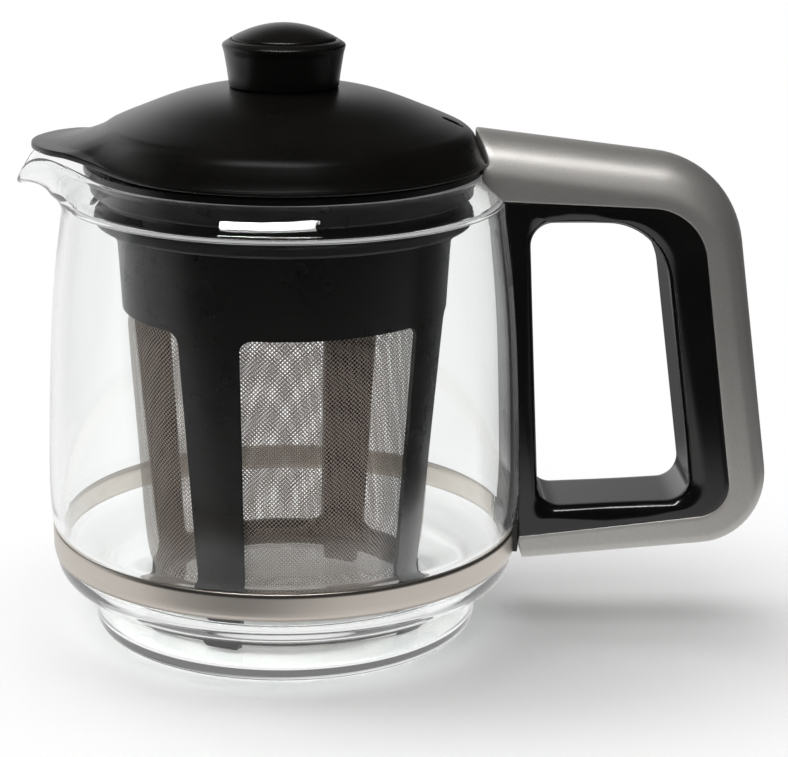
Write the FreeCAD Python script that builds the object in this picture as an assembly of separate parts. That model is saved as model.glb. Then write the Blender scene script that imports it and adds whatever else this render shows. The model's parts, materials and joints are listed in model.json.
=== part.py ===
"""Glass teapot with a lift-out infuser basket and a lift-off lid.

Millimetres, +Z up.  The origin is the centre of the jug's underside, the handle points
along +X and the spout along -X.  Each function below makes one sub-part, and the table
at the end writes one STEP file for each of them.
"""
import FreeCAD
import Part
import math
import os
from collections import namedtuple

# ---- Glass jug -------------------------------------------------------------------
jug_radius = 65.0
belly_bulge = 0.6
belly_z = 40.0
middle_inset = 0.1
middle_body_z = 66.0
upper_inset = 2.5
upper_body_z = 101.4
shoulder_inset = 4.9
shoulder_drop = 8.6
shoulder_round = 1.3
shoulder_draw = 0.4
rim_radius = 54.0
rim_z = 128.7
rim_straight = 1.6
rim_cove = 0.9
rim_wall = 2.0
glass_wall = 2.2
heel_round = 7.0
heel_rise = 4.6
foot_top_inset = 10.6
foot_top_z = 12.0
foot_inset = 11.7
foot_round = 3.4
foot_floor = 3.0
inner_lift = 2.0
inner_foot_draw = 0.6
inner_shoulder_draw = 1.0
inner_shoulder_rise = 1.6
inner_round = 1.5

# ---- Pulled spout: reach past the rim, half-width, edge above and underside below the rim
Station = namedtuple("Station", "reach half_width rise drop")
spout_stations = [
    Station(-4.0, 21.0, 0.3, 14.7),
    Station(1.0, 16.2, 1.1, 13.7),
    Station(6.0, 13.9, 2.3, 10.5),
    Station(9.6, 13.2, 3.5, 6.3),
    Station(13.0, 11.2, 3.7, 3.8),
    Station(15.8, 8.2, 1.1, 3.8),
    Station(18.0, 4.4, -1.9, 4.3),
]
spout_wall = 2.1
spout_inlet = Station(-16.0, 16.8, 3.0, 11.7)
spout_overrun = 3.0
lip_wall = 1.4

# ---- Band and its clamp ------------------------------------------------------------
band_thickness = 0.8
band_bottom_z = 22.2
band_height = 7.5
band_gap_angle = 27.0
clamp_thickness = 1.6
clamp_gap = 0.1
clamp_half_depth = 13.2
clamp_side_gap = 0.2
lug_length = 9.0
lug_half_width = 4.6
lug_height = 4.6
screw_radius = 1.5
screw_head_radius = 2.7
screw_head_height = 1.8
screw_head_cover = 1.0
screw_tail = 3.0
screw_slot_half_width = 0.4
screw_slot_depth = 0.7
nut_width = 5.5
nut_height = 2.4
fastener_gap = 0.1

# ---- Handle: reach is measured out from the band, heights from the rim or the band --
handle_half_depth = 14.0
handle_root_inset = 20.0
arm_start_rise = 11.8
arm_corner_reach = 57.7
arm_corner_rise = 2.0
arm_corner_round = 28.0
grip_corner_reach = 73.2
grip_corner_rise = 1.5
grip_corner_round = 20.0
handle_end_drop = 4.3
handle_root_drop = 6.0
arm_crown = 11.0
grip_crown = 6.0
base_crown = 4.5
crown_steps = 8
handle_foot_inset = 1.0
handle_foot_lean = 2.8
loop_root_top_drop = 6.3
loop_root_low_rise = 2.5
loop_top_reach = 47.5
loop_top_drop = 9.4
loop_top_round = 16.0
loop_low_reach = 59.5
loop_low_rise = 11.2
loop_low_round = 9.0
window_top_drop = 13.2
window_top_left_reach = 1.2
window_top_right_reach = 37.3
window_top_round = 18.0
window_low_right_reach = 48.4
window_low_right_rise = 14.4
window_low_left_reach = 5.4
window_low_left_rise = 12.6
window_round = 6.3
window_edge_round = 3.0
handle_glass_gap = 0.4
end_cap_reach = 2.2
end_cap_drop = 4.2
arm_nose_inset = 3.8
arm_nose_round = 36.0
cushion_depth = 1.3
cushion_half_width = 7.5
cushion_height = 14.0
cushion_upper_drop = 31.7
cushion_lower_rise = 14.3
cushion_gap = 0.1

# ---- Infuser basket: heights are measured down from the rim or up from the floor -----
seat_gap = 0.3
flange_overhang = 0.2
flange_thickness = 1.9
flange_round = 0.5
neck_round = 0.8
basket_wall = 2.0
neck_gap = 0.7
neck_drop = 7.2
groove_depth = 3.6
groove_height = 3.5
collar_inset = 5.5
collar_taper = 1.4
collar_drop = 40.2
cage_taper = 6.4
cage_rise = 11.9
window_sill_rise = 2.8
window_corner_round = 3.2
rib_count = 4
rib_turn = 63.0
rib_top_width = 18.2
rib_bottom_width = 14.0
base_ring_rise = 5.5
base_ring_round = 3.0
base_ring_draft = 0.6
base_ring_width = 4.6
tab_width = 11.2
tab_end_width = 10.0
tab_overlap = 2.0
tab_round = 1.0
mesh_thickness = 0.6
mesh_gap = 0.1
mesh_overlap = 2.4
seal_height = 4.3
seal_glass_gap = 0.5
seal_edge_height = 3.2
seal_root = 1.0
seal_round = 1.1

# ---- Lid: insets from its edge, heights above its underside ---------------------------
lid_overhang = 1.8
lid_wall = 2.0
lid_edge_height = 1.6
lid_edge_round = 0.5
lid_flare_inset = 3.9
lid_flare_rise = 5.7
lid_flare_hollow = 0.4
lid_break_inset = 4.8
lid_break_rise = 8.0
lid_inner_inset = 7.0
lid_inner_draw = 3.2
lid_inner_round = 1.5
dome_inner_draw = 0.7
lid_height = 19.6
knob_seat_radius = 15.6
lid_lift_clearance = 0.5
dome_steps = [(26.0, 1.6), (17.0, 4.25), (8.0, 8.0)]
tongue_reach = 12.2
tongue_rise = 5.1
tongue_thickness = 1.4
tongue_steps = [(10.6, 8.8), (7.2, 15.4), (2.2, 20.4), (-2.8, 25.0)]
tongue_root_half_width = 30.0
vent_start_inset = 8.4
vent_end_inset = 2.6
vent_width = 3.0
vent_angle = -5.0
skirt_gap = 2.8
skirt_wall = 1.8
skirt_floor_gap = 0.7
liner_rise = 2.8
liner_thickness = 1.5
liner_gap = 0.2
lid_seal_rise = 1.2
lid_seal_height = 2.4
lid_seal_depth = 0.9
lid_seal_gap = 0.35
lid_seal_round = 0.8
liner_screw_count = 3
liner_screw_turn = 60.0
liner_screw_inset = 10.5
liner_screw_length = 4.6
boss_radius = 3.6
boss_top_drop = 7.4

# ---- Knob: heights above the lid's top --------------------------------------------------
knob_base_radius = 14.7
knob_base_round = 0.4
knob_waist_swell = 1.0
knob_waist_drop = 4.0
knob_waist_round = 9.0
knob_flare_radius = 16.5
knob_flare_rise = 10.8
knob_flare_round = 0.9
knob_edge_inset = 1.0
knob_edge_rise = 12.6
knob_edge_round = 0.6
knob_brim = 1.3
knob_brim_rise = 0.5
knob_cap_rise = 17.5
knob_cap_depth = 1.2
knob_cap_edge = 0.7
knob_cap_steps = (0.8, 0.45)
knob_screw_radius = 2.0
knob_screw_length = 9.0
knob_screw_head_radius = 3.8
knob_screw_head_height = 2.2
washer_radius = 6.0
washer_thickness = 0.8

# ---- Values that follow from the ones above -------------------------------------------
belly_radius = jug_radius + belly_bulge
middle_body_radius = jug_radius - middle_inset
upper_body_radius = jug_radius - upper_inset
shoulder_radius = jug_radius - shoulder_inset
shoulder_z = rim_z - shoulder_drop
foot_top_radius = jug_radius - foot_top_inset
foot_radius = jug_radius - foot_inset
band_seat_radius = jug_radius - band_thickness
band_top_z = band_bottom_z + band_height
heel_z = foot_top_z + heel_rise
flange_radius = rim_radius + flange_overhang
flange_bottom_z = rim_z + seat_gap
flange_top_z = flange_bottom_z + flange_thickness
neck_radius = rim_radius - rim_wall - neck_gap
neck_bottom_z = rim_z - neck_drop
neck_floor_z = neck_bottom_z + basket_wall
groove_radius = neck_radius - groove_depth
groove_bottom_z = neck_bottom_z - groove_height
collar_top_radius = neck_radius - collar_inset
collar_bottom_radius = collar_top_radius - collar_taper
collar_bottom_z = rim_z - collar_drop
cage_bottom_radius = collar_bottom_radius - cage_taper
cage_bottom_z = foot_floor + cage_rise
window_sill_z = collar_bottom_z + window_sill_rise
base_ring_bottom_z = foot_floor + base_ring_rise
rib_inner_bottom = cage_bottom_radius - basket_wall
seal_bottom_z = groove_bottom_z - seal_height
lid_radius = rim_radius + lid_overhang
lid_bottom_z = flange_top_z + seat_gap
lid_top_z = lid_bottom_z + lid_height
lid_flare_z = lid_bottom_z + lid_flare_rise
lid_break_radius = lid_radius - lid_break_inset
lid_break_z = lid_bottom_z + lid_break_rise
tongue_top_z = lid_bottom_z + tongue_rise
skirt_radius = neck_radius - basket_wall - skirt_gap
skirt_bottom_z = neck_floor_z + skirt_floor_gap
liner_z = lid_bottom_z + liner_rise
liner_top_z = liner_z + liner_thickness
liner_screw_circle = skirt_radius - liner_screw_inset
knob_flare_z = lid_top_z + knob_flare_rise
knob_edge_radius = knob_flare_radius - knob_edge_inset
knob_edge_z = lid_top_z + knob_edge_rise
knob_cap_radius = knob_edge_radius - knob_brim
knob_cap_top_z = lid_top_z + knob_cap_rise
knob_cap_bottom_z = knob_edge_z - knob_cap_depth
clamp_outer_radius = band_seat_radius + clamp_gap + clamp_thickness
lug_bottom_z = band_bottom_z
lug_top_z = lug_bottom_z + lug_height
lug_end_x = clamp_outer_radius + lug_length
screw_x = clamp_outer_radius + lug_length / 2
screw_head_top_z = lug_bottom_z - clamp_side_gap - screw_head_cover
screw_top_z = lug_top_z + screw_tail
arm_nose_x = lid_radius - arm_nose_inset
end_cap_radius = lid_radius + end_cap_reach
handle_root_x = jug_radius - handle_root_inset
handle_end_z = band_bottom_z - handle_end_drop
cushion_upper_z = rim_z - cushion_upper_drop
cushion_lower_z = band_top_z + cushion_lower_rise
window_turn = rib_turn + 180.0 / rib_count

UP = FreeCAD.Vector(0, 0, 1)
CENTRE = FreeCAD.Vector(0, 0, 0)
FAR = 400.0

Corner = namedtuple("Corner", "a b radius via", defaults=(0.0, ()))


# ---- Drawing helpers -------------------------------------------------------------------
def on_side(a, b):
    """A point of the XZ plane."""
    return FreeCAD.Vector(a, 0, b)


def on_plan(a, b):
    """A point of the XY plane."""
    return FreeCAD.Vector(a, b, 0)


def rounded_wire(corners, place):
    """Closed wire through corners, each rounded by a tangent arc of its own radius.

    Where a corner has via points, the edge after it is a smooth curve through them.
    """
    points = [place(corner.a, corner.b) for corner in corners]
    count = len(points)
    arrivals = []
    departures = []
    arcs = []
    for index, corner in enumerate(corners):
        here = points[index]
        if corner.radius == 0:
            arrivals.append(here)
            departures.append(here)
            arcs.append(None)
            continue
        back = (points[index - 1] - here).normalize()
        ahead = (points[(index + 1) % count] - here).normalize()
        half_angle = back.getAngle(ahead) / 2
        trim = corner.radius / math.tan(half_angle)
        inward = (back + ahead).normalize()
        middle = here + inward * (corner.radius / math.sin(half_angle) - corner.radius)
        start = here + back * trim
        end = here + ahead * trim
        arrivals.append(start)
        departures.append(end)
        arcs.append(Part.Arc(start, middle, end).toShape())
    edges = []
    for index, corner in enumerate(corners):
        if arcs[index]:
            edges.append(arcs[index])
        start = departures[index]
        end = arrivals[(index + 1) % count]
        if corner.via:
            curve = Part.BSplineCurve()
            curve.interpolate([start] + [place(a, b) for a, b in corner.via] + [end])
            edges.append(curve.toShape())
        elif start.distanceToPoint(end) > 1e-6:
            edges.append(Part.makeLine(start, end))
    return Part.Wire(Part.__sortEdges__(edges))


def face(corners, place=on_side):
    """Flat face inside a rounded wire."""
    return Part.Face(rounded_wire(corners, place))


def turned(corners, start_angle=0.0, sweep=360.0):
    """Solid turned about the vertical axis from a half section (radius, height)."""
    section = face(corners)
    section.rotate(CENTRE, UP, start_angle)
    return section.revolve(CENTRE, UP, sweep)


def ring(inner, outer, bottom, top, start_angle=0.0, sweep=360.0):
    """Ring, or a sector of one, with a rectangular section."""
    corners = [Corner(inner, bottom), Corner(outer, bottom), Corner(outer, top), Corner(inner, top)]
    return turned(corners, start_angle, sweep)


def side_prism(corners, half_depth):
    """Side outline given the same depth to both sides of the XZ plane."""
    outline = face(corners)
    outline.translate(FreeCAD.Vector(0, -half_depth, 0))
    return outline.extrude(FreeCAD.Vector(0, 2 * half_depth, 0))


def block(x0, x1, half_width, bottom, top):
    """Box that is centred on the XZ plane."""
    corner = FreeCAD.Vector(x0, -half_width, bottom)
    return Part.makeBox(x1 - x0, 2 * half_width, top - bottom, corner)


def post(radius, bottom, top, x=0.0, y=0.0):
    """Upright cylinder."""
    return Part.makeCylinder(radius, top - bottom, FreeCAD.Vector(x, y, bottom))


def around(shape, count, first_angle):
    """Copies of a shape at equal angles about the vertical axis."""
    copies = []
    for index in range(count):
        copy = shape.copy()
        copy.rotate(CENTRE, UP, first_angle + index * 360.0 / count)
        copies.append(copy)
    return copies


# ---- Glass jug -----------------------------------------------------------------------------
def glass_outside(growth):
    """Corners of the jug's outer half section, grown outwards, from the foot to the rim."""
    body = [
        (belly_radius + growth, belly_z),
        (middle_body_radius + growth, middle_body_z),
        (upper_body_radius + growth, upper_body_z),
    ]
    neck_foot_z = rim_z - rim_straight
    return [
        Corner(0, 0),
        Corner(foot_radius + growth, 0, foot_round),
        Corner(foot_top_radius + growth, foot_top_z, foot_round),
        Corner(band_seat_radius + growth, heel_z, heel_round),
        Corner(band_seat_radius + growth, band_top_z),
        Corner(jug_radius + growth, band_top_z + band_thickness, via=body),
        Corner(shoulder_radius + growth, shoulder_z),
        Corner(shoulder_radius - shoulder_draw + growth, shoulder_z + shoulder_round),
        Corner(rim_radius + rim_cove + growth, neck_foot_z - rim_cove),
        Corner(rim_radius + growth, neck_foot_z),
        Corner(rim_radius + growth, rim_z),
    ]


def glass_inside():
    """Corners of the jug's inner half section, from the rim down to the floor."""
    body = [
        (upper_body_radius - glass_wall, upper_body_z),
        (middle_body_radius - glass_wall, middle_body_z),
        (belly_radius - glass_wall, belly_z),
    ]
    inner_rim = rim_radius - rim_wall
    inner_shoulder = shoulder_radius - glass_wall
    inner_seat = band_seat_radius - glass_wall
    inner_foot = foot_top_radius - glass_wall
    return [
        Corner(inner_rim, rim_z),
        Corner(inner_rim, rim_z - rim_straight, inner_round),
        Corner(inner_shoulder - inner_shoulder_draw, shoulder_z + inner_shoulder_rise, inner_round),
        Corner(inner_shoulder, shoulder_z - inner_shoulder_draw, via=body),
        Corner(inner_seat, band_top_z),
        Corner(inner_seat, heel_z + inner_lift, heel_round - glass_wall),
        Corner(inner_foot - inner_foot_draw, foot_top_z + inner_lift, foot_round),
        Corner(foot_radius - glass_wall, foot_floor, foot_round / 2),
        Corner(0, foot_floor),
    ]


def channel_section(x, half_width, top_z, under_z):
    """Upright section across the spout: an arc below a level top line."""
    left = FreeCAD.Vector(x, -half_width, top_z)
    low = FreeCAD.Vector(x, 0, under_z)
    right = FreeCAD.Vector(x, half_width, top_z)
    bowl = Part.Arc(left, low, right).toShape()
    return Part.Wire([bowl, Part.makeLine(right, left)])


def spout_outside():
    """Outer skin of the pulled spout, filled up to its edge."""
    sections = []
    for station in spout_stations:
        x = -rim_radius - station.reach
        sections.append(channel_section(x, station.half_width, rim_z + station.rise, rim_z - station.drop))
    return Part.makeLoft(sections, True)


def spout_channel():
    """Room inside the spout, open at the top, into the jug and at the lip."""
    inner = [spout_inlet]
    for station in spout_stations:
        inner.append(station._replace(drop=station.drop - spout_wall))
    last = spout_stations[-1]
    inner.append(last._replace(reach=last.reach + spout_wall, drop=last.drop - lip_wall))
    sections = []
    for station in inner:
        x = -rim_radius - station.reach
        half_width = station.half_width - spout_wall + spout_overrun / 2
        top_z = rim_z + station.rise + spout_overrun
        sections.append(channel_section(x, half_width, top_z, rim_z - station.drop))
    return Part.makeLoft(sections, True)


def glass_jug():
    """Blown glass jug with a stepped foot, a shoulder, a straight rim and a pulled spout."""
    filled = turned(glass_outside(0.0) + [Corner(0, rim_z)])
    room = turned(glass_inside() + [Corner(0, rim_z)])
    flange_room = post(flange_radius + seat_gap, rim_z, FAR)
    spout = spout_outside().cut(flange_room)
    return filled.fuse(spout).cut(room).cut(spout_channel()).removeSplitter()


def beside_glass(growth):
    """Space that the handle keeps clear: the grown jug, up to the lid's underside."""
    top_z = lid_bottom_z - seat_gap
    corners = glass_outside(growth)[:-1]
    corners.append(Corner(rim_radius + growth, top_z))
    corners.append(Corner(0, top_z))
    return turned(corners)


# ---- Band and clamp ---------------------------------------------------------------------------
def steel_band():
    """Band round the jug above its heel, open where the handle is clamped."""
    half_gap = band_gap_angle / 2
    return ring(band_seat_radius, jug_radius, band_bottom_z, band_top_z, half_gap, 360 - band_gap_angle)


def band_clamp_block():
    """Curved clamp between the band's ends, with a lug that reaches into the handle."""
    inner = band_seat_radius + clamp_gap
    pad = ring(inner, clamp_outer_radius, band_bottom_z, band_top_z)
    pad = pad.common(block(0, FAR, clamp_half_depth, 0, band_top_z))
    lug = block(inner, lug_end_x, lug_half_width, lug_bottom_z, lug_top_z)
    lug = lug.cut(post(inner, 0, band_top_z))
    return pad.fuse(lug).cut(post(screw_radius + fastener_gap, 0, FAR, screw_x)).removeSplitter()


def clamp_room():
    """Pocket in the handle's foot for the clamp, its lug and the nut above it."""
    grown = clamp_side_gap
    pad = post(clamp_outer_radius + grown, 0, band_top_z + grown)
    top_z = lug_top_z + nut_height + fastener_gap
    lug = block(0, lug_end_x + grown, lug_half_width + grown, lug_bottom_z - grown, top_z)
    return pad.fuse(lug)


def screw_room():
    """Hole and head recess for the clamp screw, up through the handle's foot."""
    shaft = post(screw_radius + fastener_gap, 0, screw_top_z + fastener_gap, screw_x)
    head = post(screw_head_radius + fastener_gap, 0, screw_head_top_z, screw_x)
    return shaft.fuse(head)


def band_clamp_screw():
    """Screw with a slotted head, up through the handle's foot, the lug and the nut."""
    head_top_z = screw_head_top_z - fastener_gap
    head_bottom_z = head_top_z - screw_head_height
    head = post(screw_head_radius, head_bottom_z, head_top_z, screw_x)
    shaft = post(screw_radius, head_top_z, screw_top_z, screw_x)
    slot_top_z = head_bottom_z + screw_slot_depth
    slot = block(screw_x - FAR / 2, screw_x + FAR / 2, screw_slot_half_width, head_bottom_z, slot_top_z)
    return head.fuse(shaft).cut(slot)


def band_clamp_nut():
    """Hexagon nut on top of the lug."""
    circle = nut_width / math.sqrt(3)
    points = []
    for index in range(7):
        angle = math.radians(60 * index)
        points.append(FreeCAD.Vector(screw_x + circle * math.cos(angle), circle * math.sin(angle), lug_top_z))
    hexagon = Part.Face(Part.makePolygon(points)).extrude(UP * nut_height)
    return hexagon.cut(post(screw_radius + fastener_gap, 0, FAR, screw_x))


# ---- Handle -----------------------------------------------------------------------------------
def crowned_outline(y, share):
    """Outer outline of the handle at depth y, drawn in by a share of each side's crown."""
    arm_drop = arm_crown * share
    grip_draw = grip_crown * share
    base_lift = base_crown * share
    arm_x = jug_radius + arm_corner_reach - grip_draw
    grip_x = jug_radius + grip_corner_reach - grip_draw
    grip_z = band_bottom_z + grip_corner_rise + base_lift
    corners = [
        Corner(handle_root_x, rim_z + arm_start_rise - arm_drop),
        Corner(arm_x, rim_z + arm_corner_rise - arm_drop, arm_corner_round - grip_draw),
        Corner(grip_x, grip_z, grip_corner_round - grip_draw),
        Corner(handle_root_x, band_bottom_z - handle_root_drop + base_lift),
    ]
    return rounded_wire(corners, lambda a, b: FreeCAD.Vector(a, y, b))


def handle_tablet():
    """The handle's whole outer form, crowned like an ellipse from front to back."""
    sections = []
    for step in range(crown_steps + 1):
        angle = math.pi * (step / crown_steps - 0.5)
        depth = handle_half_depth * math.sin(angle)
        sections.append(crowned_outline(depth, 1 - math.cos(angle)))
    return Part.makeLoft(sections, True)


def loop_prism(half_depth):
    """Block inside the shell's C, which the black loop fills."""
    corners = [
        Corner(handle_root_x, rim_z - loop_root_top_drop),
        Corner(jug_radius + loop_top_reach, rim_z - loop_top_drop, loop_top_round),
        Corner(jug_radius + loop_low_reach, band_bottom_z + loop_low_rise, loop_low_round),
        Corner(handle_root_x, band_bottom_z + loop_root_low_rise),
    ]
    return side_prism(corners, half_depth)


def foot_trim():
    """Space left of the handle's leaning lower end."""
    top_x = jug_radius - handle_foot_inset
    top_z = band_bottom_z + loop_root_low_rise + handle_foot_lean
    low_x = top_x + handle_foot_lean
    corners = [
        Corner(0, 0),
        Corner(low_x + handle_foot_lean, 0),
        Corner(low_x, handle_end_z),
        Corner(top_x, top_z),
        Corner(0, top_z),
    ]
    return side_prism(corners, FAR)


def handle_shell():
    """Silver C-shaped shell: arm, grip back and base, with a crowned outside."""
    shell = handle_tablet().cut(loop_prism(FAR)).cut(beside_glass(handle_glass_gap))
    shell = shell.cut(end_cap_room()).cut(foot_trim()).cut(clamp_room()).cut(screw_room())
    return max(shell.Solids, key=lambda solid: solid.Volume)


def end_cap_room():
    """Round space that the end cap fills between the arm, the jug's neck and the lid."""
    return post(end_cap_radius, rim_z - end_cap_drop, FAR)


def arm_nose(bottom_z, growth):
    """Upright post whose near side is the round nose of the arm's end."""
    return post(arm_nose_round + growth, bottom_z, FAR, arm_nose_x + arm_nose_round)


def arm_end_cap():
    """End of the arm: it hugs the jug's neck and reaches into the lid's notch."""
    nose_bottom_z = lid_bottom_z - seat_gap
    lid_side = post(end_cap_radius, nose_bottom_z, FAR).cut(arm_nose(nose_bottom_z, 0))
    return handle_tablet().common(end_cap_room()).cut(beside_glass(handle_glass_gap)).cut(lid_side)


def arm_notch(bottom_z):
    """Room for the arm's end in what is lifted past it, from a height upwards."""
    room = block(0, FAR, handle_half_depth, bottom_z, FAR)
    return room.common(arm_nose(bottom_z, lid_lift_clearance))


def handle_window():
    """Finger opening."""
    top_z = rim_z - window_top_drop
    low_left_z = band_bottom_z + window_low_left_rise
    low_right_z = band_bottom_z + window_low_right_rise
    corners = [
        Corner(jug_radius + window_top_left_reach, top_z, window_round),
        Corner(jug_radius + window_top_right_reach, top_z, window_top_round),
        Corner(jug_radius + window_low_right_reach, low_right_z, window_round),
        Corner(jug_radius + window_low_left_reach, low_left_z, window_round),
    ]
    return side_prism(corners, FAR)


def handle_loop():
    """Black loop inside the shell, with soft edges round the finger opening."""
    window = handle_window()
    loop = loop_prism(handle_half_depth).cut(window)
    edges = []
    for edge in loop.Edges:
        on_face = edge.BoundBox.YLength < 0.01
        if on_face and edge.distToShape(window)[0] < 0.01:
            edges.append(edge)
    loop = loop.makeFillet(window_edge_round, edges)
    loop = loop.cut(beside_glass(handle_glass_gap)).cut(clamp_room()).cut(foot_trim()).cut(screw_room())
    for bottom_z in (cushion_upper_z, cushion_lower_z):
        loop = loop.cut(cushion(bottom_z, 0, cushion_gap))
    return max(loop.Solids, key=lambda solid: solid.Volume)


def cushion(bottom_z, gap, growth):
    """Soft pad between the spine and the glass, or the pocket for it when grown."""
    half_width = cushion_half_width + growth
    space = block(0, FAR, half_width, bottom_z - growth, bottom_z + cushion_height + growth)
    outer = turned(glass_outside(handle_glass_gap + cushion_depth + growth) + [Corner(0, rim_z)])
    pad = outer.common(space)
    return pad.cut(turned(glass_outside(gap) + [Corner(0, rim_z)]))


# ---- Infuser basket ---------------------------------------------------------------------------
def cage_radius(z):
    """Outer radius of the tapering cage at height z."""
    share = (z - cage_bottom_z) / (collar_bottom_z - cage_bottom_z)
    return cage_bottom_radius + share * (collar_bottom_radius - cage_bottom_radius)


def basket_side_window():
    """Rounded opening between two ribs, as wide as the ribs leave it, facing +X."""
    corners = []
    share_of_turn = math.radians(180.0 / rib_count)
    heights = [(cage_bottom_z, rib_bottom_width), (window_sill_z, rib_top_width)]
    for height, rib_width in heights:
        radius = cage_radius(height)
        half = radius * math.sin(share_of_turn - math.asin(rib_width / 2 / radius))
        corners.append((half, height))
    (low_half, low_z), (high_half, high_z) = corners
    outline = [
        Corner(-low_half, low_z, window_corner_round),
        Corner(low_half, low_z, window_corner_round),
        Corner(high_half, high_z, window_corner_round),
        Corner(-high_half, high_z, window_corner_round),
    ]
    wire = rounded_wire(outline, lambda a, b: FreeCAD.Vector(0, a, b))
    return Part.Face(wire).extrude(FreeCAD.Vector(FAR, 0, 0))


def basket_tab():
    """Foot below a rib, tapering down to just above the jug's floor, facing +X."""
    bottom_z = foot_floor + seat_gap
    top_z = cage_bottom_z + tab_overlap
    outline = [
        Corner(-tab_end_width / 2, bottom_z, tab_round),
        Corner(tab_end_width / 2, bottom_z, tab_round),
        Corner(tab_width / 2, top_z),
        Corner(-tab_width / 2, top_z),
    ]
    wire = rounded_wire(outline, lambda a, b: FreeCAD.Vector(0, a, b))
    plate = Part.Face(wire).extrude(FreeCAD.Vector(FAR, 0, 0))
    return plate.common(ring(rib_inner_bottom, cage_bottom_radius, 0, top_z))


def infuser_frame():
    """Moulded frame: flange on the jug's rim, stepped neck, collar, four ribs and base ring."""
    wall = basket_wall
    inner_base = cage_bottom_radius - base_ring_width
    corners = [
        Corner(neck_radius - wall, flange_top_z),
        Corner(flange_radius, flange_top_z, flange_round),
        Corner(flange_radius, flange_bottom_z),
        Corner(neck_radius, flange_bottom_z),
        Corner(neck_radius, neck_bottom_z, neck_round),
        Corner(groove_radius, neck_bottom_z),
        Corner(groove_radius, groove_bottom_z),
        Corner(collar_top_radius, groove_bottom_z),
        Corner(collar_top_radius, seal_bottom_z),
        Corner(collar_bottom_radius, collar_bottom_z),
        Corner(cage_bottom_radius, cage_bottom_z),
        Corner(cage_bottom_radius - base_ring_draft, base_ring_bottom_z, base_ring_round),
        Corner(inner_base, base_ring_bottom_z),
        Corner(inner_base, base_ring_bottom_z + wall),
        Corner(rib_inner_bottom, base_ring_bottom_z + wall),
        Corner(rib_inner_bottom, cage_bottom_z),
        Corner(collar_bottom_radius - wall, collar_bottom_z),
        Corner(collar_top_radius - wall, seal_bottom_z),
        Corner(collar_top_radius - wall, groove_bottom_z + wall),
        Corner(groove_radius - wall, groove_bottom_z + wall),
        Corner(groove_radius - wall, neck_floor_z),
        Corner(neck_radius - wall, neck_floor_z),
    ]
    frame = turned(corners)
    for opening in around(basket_side_window(), rib_count, window_turn):
        frame = frame.cut(opening)
    for tab in around(basket_tab(), rib_count, rib_turn):
        frame = frame.fuse(tab)
    return frame.cut(arm_notch(neck_bottom_z)).removeSplitter()


def infuser_mesh_wall():
    """Tapering tube of fine woven mesh, close inside the ribs."""
    inset = basket_wall + mesh_gap
    top_z = window_sill_z + mesh_overlap
    bottom_z = base_ring_bottom_z + basket_wall + mesh_gap
    slope_top = collar_bottom_radius - inset
    corners = [
        Corner(rib_inner_bottom - mesh_gap - mesh_thickness, bottom_z),
        Corner(rib_inner_bottom - mesh_gap, bottom_z),
        Corner(rib_inner_bottom - mesh_gap, cage_bottom_z),
        Corner(slope_top, collar_bottom_z),
        Corner(slope_top, top_z),
        Corner(slope_top - mesh_thickness, top_z),
        Corner(slope_top - mesh_thickness, collar_bottom_z),
        Corner(rib_inner_bottom - mesh_gap - mesh_thickness, cage_bottom_z),
    ]
    return turned(corners)


def infuser_mesh_floor():
    """Disc of mesh that lies on the base ring, inside the mesh wall."""
    radius = rib_inner_bottom - 2 * mesh_gap - mesh_thickness
    bottom_z = base_ring_bottom_z + basket_wall + mesh_gap
    return post(radius, bottom_z, bottom_z + mesh_thickness)


def infuser_lip_seal():
    """Soft lip ring under the groove, a little smaller than the jug's neck."""
    outer = rim_radius - rim_wall - seal_glass_gap
    corners = [
        Corner(collar_top_radius, seal_bottom_z),
        Corner(collar_top_radius + seal_root, seal_bottom_z),
        Corner(outer, groove_bottom_z - seal_edge_height, seal_round),
        Corner(outer, groove_bottom_z, seal_round),
        Corner(collar_top_radius, groove_bottom_z),
    ]
    return turned(corners)


# ---- Lid --------------------------------------------------------------------------------------
def tongue_outline():
    """Plan of the tongue that covers the spout, from root to tip and back."""
    steps = [(-lid_radius - reach, half_width) for reach, half_width in tongue_steps]
    near_side = [(x, -y) for x, y in steps]
    tip = (-lid_radius - tongue_reach, 0)
    root_x = -math.sqrt(lid_radius ** 2 - tongue_root_half_width ** 2)
    return [
        Corner(root_x, tongue_root_half_width, via=steps[::-1] + [tip] + near_side),
        Corner(root_x, -tongue_root_half_width),
    ]


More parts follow.
